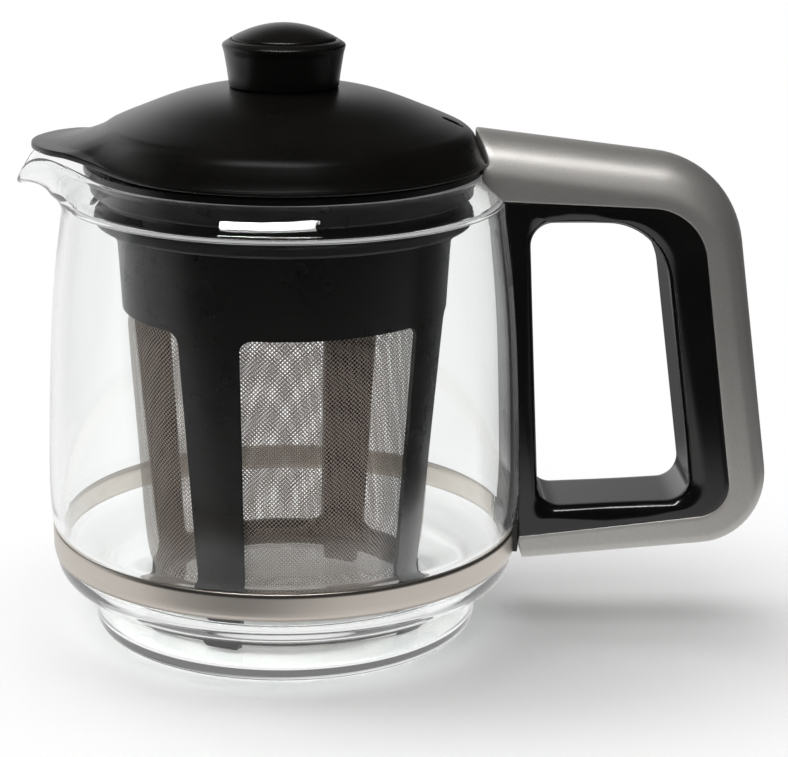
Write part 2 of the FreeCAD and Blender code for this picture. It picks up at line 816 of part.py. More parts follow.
def lid_cover():
    """Domed cover with a flared edge, a tongue over the spout and a vent slot."""
    wall = lid_wall
    dome = [(lid_break_radius - inset, lid_top_z - drop) for inset, drop in dome_steps]
    inner_dome = [(radius - dome_inner_draw, height - wall) for radius, height in reversed(dome)]
    edge_top_z = lid_bottom_z + lid_edge_height
    inner_edge = lid_radius - lid_inner_inset
    flare = [
        (lid_radius - lid_flare_inset, lid_flare_z),
        (lid_radius - lid_flare_inset / 2, (lid_flare_z + edge_top_z) / 2 - lid_flare_hollow),
    ]
    corners = [
        Corner(0, lid_top_z),
        Corner(knob_seat_radius, lid_top_z, via=dome),
        Corner(lid_break_radius, lid_break_z, via=flare),
        Corner(lid_radius, edge_top_z, lid_edge_round),
        Corner(lid_radius, lid_bottom_z, lid_edge_round),
        Corner(inner_edge, lid_bottom_z),
        Corner(inner_edge, lid_flare_z - wall / 2, lid_inner_round),
        Corner(lid_break_radius - lid_inner_draw, lid_break_z - wall, via=inner_dome),
        Corner(knob_seat_radius, lid_top_z - wall),
        Corner(0, lid_top_z - wall),
    ]
    cover = turned(corners)
    plan = face(tongue_outline(), on_plan)
    plate = plan.copy()
    plate.translate(UP * (tongue_top_z - tongue_thickness))
    plate = plate.extrude(UP * tongue_thickness)
    root = plan.copy()
    root.translate(UP * lid_bottom_z)
    root = root.extrude(UP * (tongue_top_z - lid_bottom_z)).common(post(lid_radius, 0, FAR))
    tongue = plate.fuse(root).cut(post(lid_break_radius, 0, FAR))
    cover = cover.fuse(tongue)
    for boss in around(liner_boss(), liner_screw_count, liner_screw_turn):
        cover = cover.fuse(boss)
    cover = cover.cut(post(knob_screw_radius + fastener_gap, 0, FAR))
    for hole in around(liner_hole(), liner_screw_count, liner_screw_turn):
        cover = cover.cut(hole)
    return cover.cut(vent_slot()).cut(arm_notch(0)).removeSplitter()


def vent_slot():
    """Round-ended slot through the dome, along a radius near the handle."""
    half_width = vent_width / 2
    start = lid_break_radius - vent_start_inset + half_width
    end = lid_break_radius - vent_end_inset - half_width
    low_z = lid_flare_z
    middle = Part.makeBox(end - start, vent_width, FAR, FreeCAD.Vector(start, -half_width, low_z))
    slot = middle.fuse(post(half_width, low_z, low_z + FAR, start))
    slot = slot.fuse(post(half_width, low_z, low_z + FAR, end))
    slot.rotate(CENTRE, UP, vent_angle)
    return slot


def liner_boss():
    """Screw boss under the dome, down to the liner plate."""
    return post(boss_radius, liner_top_z, lid_top_z - boss_top_drop, liner_screw_circle)


def liner_hole():
    """Blind hole in a boss."""
    top_z = liner_top_z + liner_screw_length + fastener_gap
    return post(screw_radius + fastener_gap, 0, top_z, liner_screw_circle)


def lid_skirt():
    """Liner plate with a short wall that plugs into the basket's neck."""
    inner = skirt_radius - skirt_wall
    plate_radius = skirt_radius - liner_gap
    groove_bottom = skirt_bottom_z + lid_seal_rise
    groove_top = groove_bottom + lid_seal_height
    corners = [
        Corner(0, liner_z),
        Corner(inner, liner_z),
        Corner(inner, skirt_bottom_z),
        Corner(skirt_radius, skirt_bottom_z),
        Corner(skirt_radius, groove_bottom),
        Corner(skirt_radius - lid_seal_depth, groove_bottom),
        Corner(skirt_radius - lid_seal_depth, groove_top),
        Corner(skirt_radius, groove_top),
        Corner(plate_radius, liner_top_z),
        Corner(0, liner_top_z),
    ]
    liner = turned(corners)
    for hole in around(liner_hole(), liner_screw_count, liner_screw_turn):
        liner = liner.cut(hole)
    return liner


def lid_seal():
    """Soft ring in the skirt's groove."""
    bottom_z = skirt_bottom_z + lid_seal_rise
    inner = skirt_radius - lid_seal_depth
    outer = neck_radius - basket_wall - lid_seal_gap
    corners = [
        Corner(inner, bottom_z),
        Corner(outer, bottom_z, lid_seal_round),
        Corner(outer, bottom_z + lid_seal_height, lid_seal_round),
        Corner(inner, bottom_z + lid_seal_height),
    ]
    return turned(corners)


def liner_screw():
    """Round-headed screw up through the liner plate into a boss."""
    head_bottom_z = liner_z - screw_head_height
    head = post(screw_head_radius, head_bottom_z, liner_z, liner_screw_circle)
    shaft = post(screw_radius, liner_z, liner_top_z + liner_screw_length, liner_screw_circle)
    slot = block(0, FAR, screw_slot_half_width, head_bottom_z, head_bottom_z + screw_slot_depth)
    return head.fuse(shaft).cut(slot)


# ---- Knob ----------------------------------------------------------------------------------------
def lid_knob():
    """Flared knob with a rounded brim and a recess for its cap."""
    recess_radius = knob_cap_radius + fastener_gap
    corners = [
        Corner(0, lid_top_z),
        Corner(knob_base_radius, lid_top_z, knob_base_round),
        Corner(knob_base_radius + knob_waist_swell, knob_flare_z - knob_waist_drop, knob_waist_round),
        Corner(knob_flare_radius, knob_flare_z, knob_flare_round),
        Corner(knob_edge_radius, knob_edge_z, knob_edge_round),
        Corner(recess_radius, knob_edge_z + knob_brim_rise),
        Corner(recess_radius, knob_cap_bottom_z),
        Corner(0, knob_cap_bottom_z),
    ]
    bore = post(knob_screw_radius + fastener_gap, 0, lid_top_z + knob_screw_length)
    return turned(corners).cut(bore)


def knob_cap():
    """Shallow domed cap set into the knob's brim."""
    edge_z = knob_edge_z + knob_cap_edge
    dome_height = knob_cap_top_z - edge_z
    dome = []
    for share in knob_cap_steps:
        dome.append((knob_cap_radius * share, edge_z + dome_height * (1 - share ** 2)))
    corners = [
        Corner(0, knob_cap_bottom_z),
        Corner(knob_cap_radius, knob_cap_bottom_z),
        Corner(knob_cap_radius, edge_z, via=dome),
        Corner(0, knob_cap_top_z),
    ]
    return turned(corners)


def knob_screw():
    """Screw from inside the lid up into the knob, with a round head."""
    head_top_z = lid_top_z - lid_wall - washer_thickness
    head = post(knob_screw_head_radius, head_top_z - knob_screw_head_height, head_top_z)
    shaft = post(knob_screw_radius, head_top_z, lid_top_z + knob_screw_length - fastener_gap)
    slot_z = head_top_z - knob_screw_head_height
    slot = block(-FAR / 2, FAR / 2, screw_slot_half_width, slot_z, slot_z + screw_slot_depth)
    return head.fuse(shaft).cut(slot)


def knob_washer():
    """Washer between the screw's head and the lid."""
    top_z = lid_top_z - lid_wall
    return ring(knob_screw_radius + fastener_gap, washer_radius, top_z - washer_thickness, top_z)


# ---- One STEP file for each sub-part ---------------------------------------------------------
parts = {
    "glass_jug": glass_jug(),
    "steel_band": steel_band(),
    "band_clamp_block": band_clamp_block(),
    "band_clamp_screw": band_clamp_screw(),
    "band_clamp_nut": band_clamp_nut(),
    "handle_shell": handle_shell(),
    "handle_loop": handle_loop(),
    "arm_end_cap": arm_end_cap(),
    "glass_cushion_upper": cushion(cushion_upper_z, cushion_gap, 0),
    "glass_cushion_lower": cushion(cushion_lower_z, cushion_gap, 0),
    "infuser_frame": infuser_frame(),
    "infuser_mesh_wall": infuser_mesh_wall(),
    "infuser_mesh_floor": infuser_mesh_floor(),
    "infuser_lip_seal": infuser_lip_seal(),
    "lid_cover": lid_cover(),
    "lid_skirt": lid_skirt(),
    "lid_seal": lid_seal(),
    "lid_knob": lid_knob(),
    "knob_cap": knob_cap(),
    "knob_screw": knob_screw(),
    "knob_washer": knob_washer(),
}
for index, screw in enumerate(around(liner_screw(), liner_screw_count, liner_screw_turn), start=1):
    parts["lid_liner_screw_" + str(index)] = screw

os.makedirs("parts", exist_ok=True)
for name, shape in parts.items():
    if shape.ShapeType != "Solid" and len(shape.Solids) == 1:
        shape = shape.Solids[0]
    box = shape.BoundBox
    print(f"{name:22s} solids {len(shape.Solids)} valid {shape.isValid()} volume {shape.Volume:10.1f}"
          f"  x {box.XMin:7.2f} {box.XMax:7.2f}  y {box.YMin:6.2f} {box.YMax:6.2f}"
          f"  z {box.ZMin:6.2f} {box.ZMax:6.2f}")
    shape.exportStep("parts/" + name + ".step")
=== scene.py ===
# %% [markdown]
# # A glass teapot with an infuser basket
#
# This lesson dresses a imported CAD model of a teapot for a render.  The CAD model gives the
# frame: every part is already in its place, in metres, with +Z up, the handle towards +X
# and the spout towards -X.  We keep that frame and lay finer surfaces over the parts that
# show most: the blown glass, the lid, the knob, the handle and the woven mesh.
#
# All our own surfaces are worked out with numpy in millimetres.  A shape is a grid of
# points, rows along one direction and columns along the other, so that a whole wall is one
# array and one formula.

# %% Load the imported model
import json
import math

import bpy
import numpy as np
from mathutils import Matrix, Vector


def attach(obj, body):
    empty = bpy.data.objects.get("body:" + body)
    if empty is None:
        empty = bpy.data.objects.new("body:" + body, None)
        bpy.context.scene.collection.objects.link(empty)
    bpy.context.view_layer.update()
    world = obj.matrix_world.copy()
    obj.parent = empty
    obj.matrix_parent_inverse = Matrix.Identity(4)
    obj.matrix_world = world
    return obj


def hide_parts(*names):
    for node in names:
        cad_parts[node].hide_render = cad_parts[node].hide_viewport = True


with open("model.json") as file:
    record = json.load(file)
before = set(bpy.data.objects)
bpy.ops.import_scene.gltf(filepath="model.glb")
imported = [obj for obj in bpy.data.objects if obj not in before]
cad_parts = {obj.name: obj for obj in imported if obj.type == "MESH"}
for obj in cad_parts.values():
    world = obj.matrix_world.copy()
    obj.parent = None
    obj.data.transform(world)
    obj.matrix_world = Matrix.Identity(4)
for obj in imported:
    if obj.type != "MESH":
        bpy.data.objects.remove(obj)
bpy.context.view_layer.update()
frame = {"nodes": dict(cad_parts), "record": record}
nodes = frame["nodes"]
MM = 0.001

# %% [markdown]
# ## The camera
#
# A long lens from two thirds of a metre away keeps the teapot's sides nearly parallel.  The
# camera looks down on it by about sixteen degrees and is turned a little to the right, so
# that the jug stands left of the middle and the handle has room.

# %% Camera
YAW, PITCH, ROLL = 0.0483, 0.2752, 0.0097
EYE, LENS = (0.0, -0.62826, 0.24648), 106.98


def look(yaw, pitch, roll):
    """Camera axes: forward from yaw and pitch, right level with the floor, both rolled."""
    ahead = math.cos(pitch)
    forward = Vector((math.sin(yaw) * ahead, math.cos(yaw) * ahead, -math.sin(pitch)))
    level = Vector((math.cos(yaw), -math.sin(yaw), 0))
    upright = level.cross(forward)
    right = level * math.cos(roll) + upright * math.sin(roll)
    up = upright * math.cos(roll) - level * math.sin(roll)
    return right, up, -forward


camera = bpy.data.objects.new("camera", bpy.data.cameras.new("camera"))
camera.data.sensor_width = 36.0
camera.data.lens = LENS
camera.data.clip_start = 0.01
axes = Matrix(look(YAW, PITCH, ROLL)).transposed().to_4x4()
camera.matrix_world = Matrix.Translation(EYE) @ axes
bpy.context.scene.collection.objects.link(camera)
bpy.context.scene.camera = camera
bpy.context.scene.view_settings.view_transform = "Standard"

# %% [markdown]
# ## Tools for surfaces
#
# Nearly every wall here is a grid that closes on itself around the object.  One function
# turns such a grid into a mesh: it joins neighbours by quads, and closes the first and last
# row with a fan of triangles round a pole.  A grid whose columns run anticlockwise and whose
# rows run up has its faces pointing outwards.

# %% Grid to mesh
def grid_faces(rows, columns, close_rows, close_columns):
    """Quads between neighbours: row r, column c is point r * columns + c."""
    row = np.arange(rows if close_rows else rows - 1)[:, None]
    column = np.arange(columns if close_columns else columns - 1)
    below, above = row * columns, (row + 1) % rows * columns
    left, right = column, (column + 1) % columns
    return np.stack([below + left, below + right, above + right, above + left], -1).reshape(-1, 4)


def surface(name, points, poles=False, close_rows=False, close_columns=True, flip=False, uv=None):
    """Smooth mesh object from a (rows, columns, 3) array of points in millimetres."""
    rows, columns = points.shape[:2]
    flat = points.reshape(-1, 3)
    faces = grid_faces(rows, columns, close_rows, close_columns).tolist()
    if poles:
        low, high = len(flat), len(flat) + 1
        here = np.arange(columns)
        after = (here + 1) % columns
        last = (rows - 1) * columns
        faces += np.stack([np.full(columns, low), after, here], -1).tolist()
        faces += np.stack([np.full(columns, high), last + here, last + after], -1).tolist()
        flat = np.concatenate([flat, [points[0].mean(0), points[-1].mean(0)]])
    if flip:
        faces = [face[::-1] for face in faces]
    mesh = bpy.data.meshes.new(name)
    mesh.from_pydata((flat * MM).tolist(), [], faces)
    mesh.polygons.foreach_set("use_smooth", np.ones(len(mesh.polygons), bool))
    if uv is not None:
        corner = np.zeros(len(mesh.loops), np.int32)
        mesh.loops.foreach_get("vertex_index", corner)
        mesh.uv_layers.new(name="weave").data.foreach_set("uv", uv.reshape(-1, 2)[corner].ravel())
    mesh.update()
    piece = bpy.data.objects.new(name, mesh)
    bpy.context.scene.collection.objects.link(piece)
    print(f"{name}: {rows} x {columns} grid, {len(faces)} faces")
    return piece


# %% [markdown]
# A moulded part is mostly straight runs with rounded corners, and a blown one is a smooth
# line through a few measured points.  These helpers give both kinds of line.

# %% Lines
def unit(vectors):
    return vectors / np.linalg.norm(vectors, axis=-1, keepdims=True)


def travelled(line):
    """Distance from a line's start to each of its points."""
    return np.concatenate([[0], np.cumsum(np.linalg.norm(np.diff(line, axis=0), axis=1))])


def rounded(corners, steps=8):
    """Line through (a, b, radius) corners, each turned by an arc that touches both runs.

    The arc's centre lies on the corner's bisector, at radius / sin(half the corner angle).
    """
    points = np.array([corner[:2] for corner in corners], float)
    line = [points[:1]]
    for before, here, after, corner in zip(points, points[1:], points[2:], corners[1:-1]):
        radius = corner[2]
        back, ahead = unit(before - here), unit(after - here)
        half = 0.5 * math.acos(np.clip(back @ ahead, -1, 1))
        if radius == 0 or half > 1.56:
            line.append(here[None])
            continue
        middle = here + unit(back + ahead) * radius / math.sin(half)
        start = here + back * radius / math.tan(half) - middle
        end = here + ahead * radius / math.tan(half) - middle
        share = np.linspace(0, 1, steps + 1)[:, None]
        sweep = math.pi - 2 * half
        arc = (np.sin((1 - share) * sweep) * start + np.sin(share * sweep) * end) / math.sin(sweep)
        line.append(middle + arc)
    line.append(points[-1:])
    return np.concatenate(line)


def spline(points, count):
    """Natural cubic through points over chord length: second derivatives from one linear system."""
    points = np.asarray(points, float)
    along = travelled(points)
    step = np.diff(along)
    inner = np.arange(1, len(points) - 1)
    system = np.eye(len(points))
    system[inner, inner - 1], system[inner, inner + 1] = step[:-1], step[1:]
    system[inner, inner] = 2 * (step[:-1] + step[1:])
    slope = np.diff(points, axis=0) / step[:, None]
    right = np.zeros_like(points)
    right[1:-1] = 6 * np.diff(slope, axis=0)
    bend = np.linalg.solve(system, right)
    wanted = np.linspace(0, along[-1], count)
    k = np.clip(np.searchsorted(along, wanted, side="right") - 1, 0, len(points) - 2)
    width = step[k][:, None]
    a, b = (along[k + 1] - wanted)[:, None], (wanted - along[k])[:, None]
    curve = (bend[k] * a**3 + bend[k + 1] * b**3) / (6 * width)
    from_start = (points[k] / width - bend[k] * width / 6) * a
    to_end = (points[k + 1] / width - bend[k + 1] * width / 6) * b
    return curve + from_start + to_end


def refined(line, step):
    """The same line with extra points on its long runs, none nearer than a tenth of a step."""
    along = travelled(line)
    pieces = [np.linspace(a, b, max(1, math.ceil((b - a) / step)) + 1)[1:]
              for a, b in zip(along, along[1:])]
    wanted = np.concatenate([[0], *pieces])
    keep = np.concatenate([[True], np.diff(wanted) > step / 10])
    wanted = wanted[keep]
    return np.stack([np.interp(wanted, along, line[:, k]) for k in range(line.shape[1])], -1)


def polar(radius, height, angles):
    """Grid of points at a radius and a height for every angle: x = r cos, y = r sin."""
    return np.stack(np.broadcast_arrays(radius * np.cos(angles), radius * np.sin(angles), height), -1)


def turned(profile, angles):
    """Grid of a (radius, height) profile turned about the vertical."""
    return polar(profile[:, :1], profile[:, 1:], angles)


# %% [markdown]
# ## Where the columns go
#
# The spout and the lid's tongue share one side of the jug, and all the fine shape is there.
# So the columns around the axis are not evenly spread: a third of them lie in the sector of
# the spout.  We keep, for each column, its angle from the spout's middle.

# %% Columns around the jug
SPOUT_HALF_ANGLE = math.radians(27)
SECTOR = 96
stops = [-math.pi, -SPOUT_HALF_ANGLE, SPOUT_HALF_ANGLE, math.pi]
from_spout = np.concatenate([np.linspace(a, b, SECTOR + 1)[:-1] for a, b in zip(stops, stops[1:])])
around = from_spout + math.pi
spacing = math.degrees(from_spout[SECTOR + 1] - from_spout[SECTOR])
print(len(around), "columns,", round(spacing, 2), "degrees apart at the spout")

# %% [markdown]
# ## The glass jug
#
# The real jug is blown into a mould: a thick foot with a step, a heel where the band sits, a
# barrel that narrows upwards, a shoulder and a short straight neck.  The spout is pulled out
# of the neck while the glass is soft.  A boolean of a beak with a jug would leave a seam that
# glass shows at once, so the outer skin is one turned grid, and near the spout its neck rows
# are carried from the round neck to a free edge curve.  The inner skin is the outer one
# moved inwards along its normals by the wall.

# %% Outer line of the jug
foot_line = rounded([(0.5, 0.5, 0), (47.0, 0.5, 2), (48.6, 0, 2), (53.3, 0, 3.2), (54.4, 12, 3.4),
                     (64.2, 16.6, 7), (64.2, 29.7, 0.3), (65.0, 30.5, 0.3), (65.25, 32.5, 0)])
barrel_line = spline([(65.25, 32.5), (65.6, 39), (65.5, 50), (65.0, 64.8), (64.2, 81.8),
                      (62.55, 101.4), (61.3, 111), (60.35, 117.5)], 40)
neck_line = rounded([(60.35, 117.5, 0), (60.15, 120.9, 0.9), (59.3, 122.0, 1.6), (57.5, 123.4, 1.0),
                     (55.7, 125.15, 1.5), (54.0, 127.2, 0.8), (54.0, 127.7, 0)])
foot_rows = refined(foot_line, 2.5)
neck_rows = refined(neck_line, 0.45)
outer_line = np.concatenate([foot_rows[:-1], barrel_line[:-1], neck_rows])
first_neck_row = len(outer_line) - len(neck_rows)
print("outer line:", len(outer_line), "points, from the foot to", outer_line[-1])

# %% The pull of the spout
def hermite(knots, values, wanted):
    """Smooth step-wise curve that never overshoots: cubic between knots, slopes by harmonic mean."""
    knots, values = np.asarray(knots, float), np.asarray(values, float)
    width, rise = np.diff(knots), np.diff(values)
    slope = rise / width
    both = slope[:-1] * slope[1:]
    mean = np.where(both > 0, 2 * both / np.where(both > 0, slope[:-1] + slope[1:], 1), 0)
    tangent = np.concatenate([[slope[0]], mean, [slope[-1]]])
    k = np.clip(np.searchsorted(knots, wanted, side="right") - 1, 0, len(knots) - 2)
    t = (wanted - knots[k]) / width[k]
    near = (1 + 2 * t) * (1 - t) ** 2 * values[k] + t * (1 - t) ** 2 * width[k] * tangent[k]
    return near + t * t * (3 - 2 * t) * values[k + 1] + t * t * (t - 1) * width[k] * tangent[k + 1]


spout_edge = spline([(-71.2, 0, 124.3), (-70.9, 3.4, 125.2), (-69.8, 7.4, 128.0),
                     (-67.6, 10.6, 130.9), (-64.0, 12.9, 131.9), (-60.0, 14.1, 130.9),
                     (-56.0, 15.9, 129.4), (-51.6, 19.6, 128.1), (-48.115, 24.516, 127.7)], 400)
print("spout edge reaches", spout_edge[0], "and highest", spout_edge[:, 2].max().round(1))


def pulled(points):
    """Neck rows carried to the spout's edge.

    Each column's rim point has a pull, the way from the round rim to the edge curve.  A row
    gets a share of it that grows from 0 at the shoulder to 1 at the rim: sideways early, so
    that the underside sweeps out, and upwards late at the tip, so that the lip lies flat.
    """
    near = np.abs(from_spout) / SPOUT_HALF_ANGLE
    inside = near < 1
    place = near[inside] * (len(spout_edge) - 1)
    known = np.arange(len(spout_edge))
    edge = np.stack([np.interp(place, known, spout_edge[:, k]) for k in range(3)], -1)
    edge[:, 1] *= -np.sign(from_spout[inside])
    pull = edge - points[-1, inside]
    along = travelled(neck_rows)
    along = (along / along[-1])[:, None]
    outward = hermite([0, 0.1, 0.26, 0.43, 0.62, 0.84, 1], [0, 0.006, 0.07, 0.27, 0.46, 0.74, 1], along)
    late = 1.4 + 4.0 * (1 - near[inside]) ** 2
    rows = points[first_neck_row:].copy()
    rows[:, inside, :2] += pull[:, :2] * outward[..., None]
    rows[:, inside, 2] += pull[:, 2] * along**late
    return np.concatenate([points[:first_neck_row], rows])


outer_skin = pulled(turned(outer_line, around))

# %% [markdown]
# The normal of a grid is the cross product of its two directions.  With it the inner skin,
# and the half-round rim between the two skins, follow the spout without any special case.

# %% Inner skin, rim and floor
def normals(points):
    """Outward unit normals: difference along the columns crossed with difference along the rows."""
    sideways = np.roll(points, -1, axis=1) - np.roll(points, 1, axis=1)
    return unit(np.cross(sideways, np.gradient(points, axis=0)))


WALL_FOOT, WALL_TOP = 34, 128
skin_normals = normals(outer_skin)
first_wall_row = int(np.searchsorted(outer_line[:, 1], WALL_FOOT))
heights = np.clip(outer_line[:, 1], WALL_FOOT, WALL_TOP)
wall = hermite([WALL_FOOT, 100, 122, WALL_TOP], [2.3, 2.2, 2.0, 1.9], heights)
inner_skin = outer_skin - skin_normals * wall[:, None, None]
middle = (outer_skin[-1] + inner_skin[-1]) / 2
half_wall = np.linalg.norm(outer_skin[-1] - inner_skin[-1], axis=-1, keepdims=True) / 2
upwards = unit(np.cross(skin_normals[-1], np.roll(middle, -1, 0) - np.roll(middle, 1, 0)))
turn = np.linspace(0, math.pi, 9)[1:-1, None, None]
rim = middle + half_wall * (skin_normals[-1] * np.cos(turn) + upwards * np.sin(turn))
floor_line = refined(rounded([(62.95, WALL_FOOT, 0), (62.3, 27, 12), (62.0, 18.8, 5),
                              (51.9, 14.2, 3.2), (51.0, 3.0, 2.2), (0.5, 3.0, 0)]), 2.5)
inside_wall = inner_skin[first_wall_row:][::-1]
jug_grid = np.concatenate([outer_skin, rim, inside_wall, turned(floor_line, around)[1:]])
glass = surface("jug_glass", jug_grid, poles=True)

# %% [markdown]
# ## The steel band
#
# The band is a strip of brushed steel, bent round the jug above the heel and left open where
# the handle is clamped.  Its rounded edges draw a fine bright line.  We carry a rounded
# rectangle along an open arc and close its two ends with poles.

# %% Band
def rounded_box(x0, x1, z0, z1, radius):
    """Closed section, anticlockwise, with a rounded corner at each end of each side."""
    middle = ((x0 + x1) / 2, z0)
    corners = [(x1, z0, radius), (x1, z1, radius), (x0, z1, radius), (x0, z0, radius)]
    return refined(rounded([middle + (0,), *corners, middle + (0,)], 5), 1.2)[:-1]


BAND_INSIDE, BAND_OUTSIDE, BAND_BOTTOM, BAND_TOP = 64.22, 65.0, 22.2, 29.7
CLAMP_HALF_ANGLE = 13.5
band_angles = np.radians(np.linspace(CLAMP_HALF_ANGLE, 360 - CLAMP_HALF_ANGLE, 321))
band_section = rounded_box(BAND_INSIDE, BAND_OUTSIDE, BAND_BOTTOM, BAND_TOP, 0.25)
band_grid = turned(band_section, band_angles).transpose(1, 0, 2)
band = surface("band_strip", band_grid, poles=True)

# %% [markdown]
# ## The handle's silver shell
#
# Seen from the side the shell is a C: an arm from the lid's edge, a corner, a long grip, a
# tighter corner and a base that runs back to the band.  Seen along its length its outside is
# crowned like half an ellipse, high on the arm and flatter on the grip.  The crown's top and
# foot are straight runs with arcs, sampled at matching places, so that every point between
# them is a mix of the two.

# %% Outlines that match point for point
def with_runs(arcs, counts):
    """Every arc but the last, each followed by even points on the run to the next one."""
    line = []
    for here, after, count in zip(arcs, arcs[1:], counts):
        share = np.linspace(0, 1, count + 1)[1:-1, None]
        line += [here, here[-1] + share * (after[0] - here[-1])]
    return line


def matched(corners, run_points, arc_points):
    """Open outline of runs and arcs, with as many points on each as its twins have."""
    points = np.array([corner[:2] for corner in corners], float)
    radii = [corner[2] for corner in corners]
    arcs = []
    for before, here, after, radius in zip(points, points[1:], points[2:], radii[1:-1]):
        bend = [(*before, 0), (*here, radius), (*after, 0)]
        arcs.append(rounded(bend, arc_points)[1:-1])
    stops = [points[:1], *arcs, points[-1:]]
    return np.concatenate(with_runs(stops, run_points) + stops[-1:])


SHELL_RUNS, SHELL_ARC = (26, 30, 20), 16
crown_top, crown_foot, shell_inside = (matched(corners, SHELL_RUNS, SHELL_ARC) for corners in (
    [(45, 140.5, 0), (122.7, 130.7, 28), (138.2, 23.7, 20), (45, 16.2, 0)],
    [(45, 129.5, 0), (116.7, 119.7, 22), (132.2, 28.2, 14), (45, 20.7, 0)],
    [(45, 122.4, 0), (112.5, 119.3, 16), (124.5, 33.4, 9), (45, 24.7, 0)],
))
print(len(crown_top), "stations along the shell")

# %% Section of the shell
def shell_grid(half_depth=14.0, edge=0.45):
    """Stations along the C by points around the section.

    Crown: y = depth * sin(a) and the outline is crown_top mixed with crown_foot by 1 - cos(a).
    Sides: straight from the crown's foot to the inside, with a small rounded edge there.
    """
    angle = np.linspace(-0.5 * math.pi, 0.5 * math.pi, 41)[:, None, None]
    crown = crown_top + (crown_foot - crown_top) * (1 - np.cos(angle))
    outward = unit(crown_foot - shell_inside)
    height = np.linalg.norm(crown_foot - shell_inside, axis=-1, keepdims=True)
    side = np.linspace(0.85, 0.25, 3)[:, None, None]
    sides = shell_inside + outward * (edge + (height - edge) * side)
    turn = np.linspace(0, 0.5 * math.pi, 5)[:, None, None]
    corner = shell_inside + outward * edge * (1 - np.sin(turn))
    across = np.linspace(0.9, -0.9, 9)[:, None, None]
    floor = shell_inside + 0 * across
    side_y, corner_y = np.full_like(side, half_depth), half_depth - edge * (1 - np.cos(turn))
    outline = np.concatenate([crown, sides, corner, floor, corner[::-1], sides[::-1]])
    depth = np.concatenate([half_depth * np.sin(angle), side_y, corner_y, across * half_depth,
                            -corner_y[::-1], -side_y])[..., 0]
    section = np.broadcast_arrays(outline[..., 0], depth, outline[..., 1])
    return np.stack(section, -1).transpose(1, 0, 2)


# %% [markdown]
# The arm ends in a hollow that follows the lid above and the glass neck below, and the base
# ends along the band.  Each lengthwise line of the shell is cut where it meets that hollow:
# x is the square root of R squared less y squared, with R read at the line's own height, and
# a few rounds of this settle it.  The end face is made of the same ring of points, drawn in
# towards its middle and laid on the hollow again.

# %% Cut the ends and close them
NOSE_X, NOSE_ROUND, NOSE_FOOT, NOSE_BLEND = 52.0, 36.0, 131.0, 0.4
BASE_X, BASE_TOP, BASE_LEAN, CLEAR_OF_BAND = 64.0, 27.5, 0.29, 66.2
END_ROUND = 0.6
neck_heights = np.array([100.0, 111.0, 117.5, 120.5, 121.8, 124.1, 126.4, 127.6, 150.0])
neck_reaches = np.array([63.2, 61.9, 60.9, 60.7, 60.1, 57.6, 55.4, 54.5, 54.5])


def nose(y, growth=0.0):
    """Near side of an upright post: x is its middle less the root of r squared less y squared."""
    return NOSE_X + NOSE_ROUND - np.sqrt((NOSE_ROUND + growth) ** 2 - y**2)


def arm_hollow(y, z):
    """How far out the arm's end lies: beside the glass up to the rim, a round nose above it."""
    beside_glass = np.sqrt(np.interp(z, neck_heights, neck_reaches) ** 2 - y**2)
    share = np.clip((z - NOSE_FOOT) / NOSE_BLEND, 0, 1)
    return beside_glass + (nose(y) - beside_glass) * share


def base_hollow(y, z):
    """The base's end: a leaning plane, but never inside the band and its clamp."""
    leaning = BASE_X + (BASE_TOP - z) * BASE_LEAN
    return np.maximum(leaning, np.sqrt(CLEAR_OF_BAND**2 - y**2))


FIRST_GUESS, ROUNDS = 58.0, 6


def cut_run(grid, rows, hollow):
    """Rows of one end run spread anew between the hollow, less its round edge, and its last row."""
    start, end = grid[rows[0]], grid[rows[-1]]
    way = (end - start) / (end - start)[:, :1]
    x = np.full(len(start), FIRST_GUESS)
    for _ in range(ROUNDS):
        z = start[:, 2] + way[:, 2] * (x - start[:, 0])
        x = hollow(start[:, 1], z)
    cut = start + way * (x - start[:, 0])[:, None]
    share = np.linspace(0, 1, len(rows))[:, None, None]
    grid[rows] = cut + way * END_ROUND + (end - cut - way * END_ROUND) * share


def end_face(ring, hollow, steps=9):
    """Rings drawn in towards the middle of an end and laid on the hollow, after a small round edge.

    The round edge is a quarter circle: the ring draws in by its radius while it moves out by it.
    """
    middle = ring.mean(0)
    across = np.linalg.norm(ring - middle, axis=-1, keepdims=True)
    turn = np.linspace(0, 0.5 * math.pi, 5)[1:, None, None]
    edge = middle + (ring - middle) * (1 - END_ROUND * (1 - np.cos(turn)) / across)
    shrink = np.linspace(1, 0, steps + 1)[1:-1, None, None]
    rings = np.concatenate([edge, middle + (edge[-1] - middle) * shrink])
    inward = np.concatenate([1 - np.sin(turn[:, 0, 0]), np.zeros(steps - 1)])[:, None] * END_ROUND
    rings[..., 0] = hollow(rings[..., 1], rings[..., 2]) + inward
    return rings[::-1]


shell = shell_grid()
cut_run(shell, np.arange(0, SHELL_RUNS[0] + 1), arm_hollow)
cut_run(shell, np.arange(len(shell) - 1, len(shell) - 2 - SHELL_RUNS[2], -1), base_hollow)
arm_face = end_face(shell[0], arm_hollow)
base_face = end_face(shell[-1], base_hollow)[::-1]
shell_piece = surface("handle_silver", np.concatenate([arm_face, shell, base_face]), poles=True)

# %% [markdown]
# ## The black loop
#
# Inside the silver C sits a glossy black loop with the finger opening.  Its flat sides roll
# over into the opening with a soft edge, and that roll carries the long highlights.  The
# outer outline and the opening's outline again match point for point, so a section is a walk
# from one to the other: a flat, a quarter ellipse, the wall of the opening, and back.

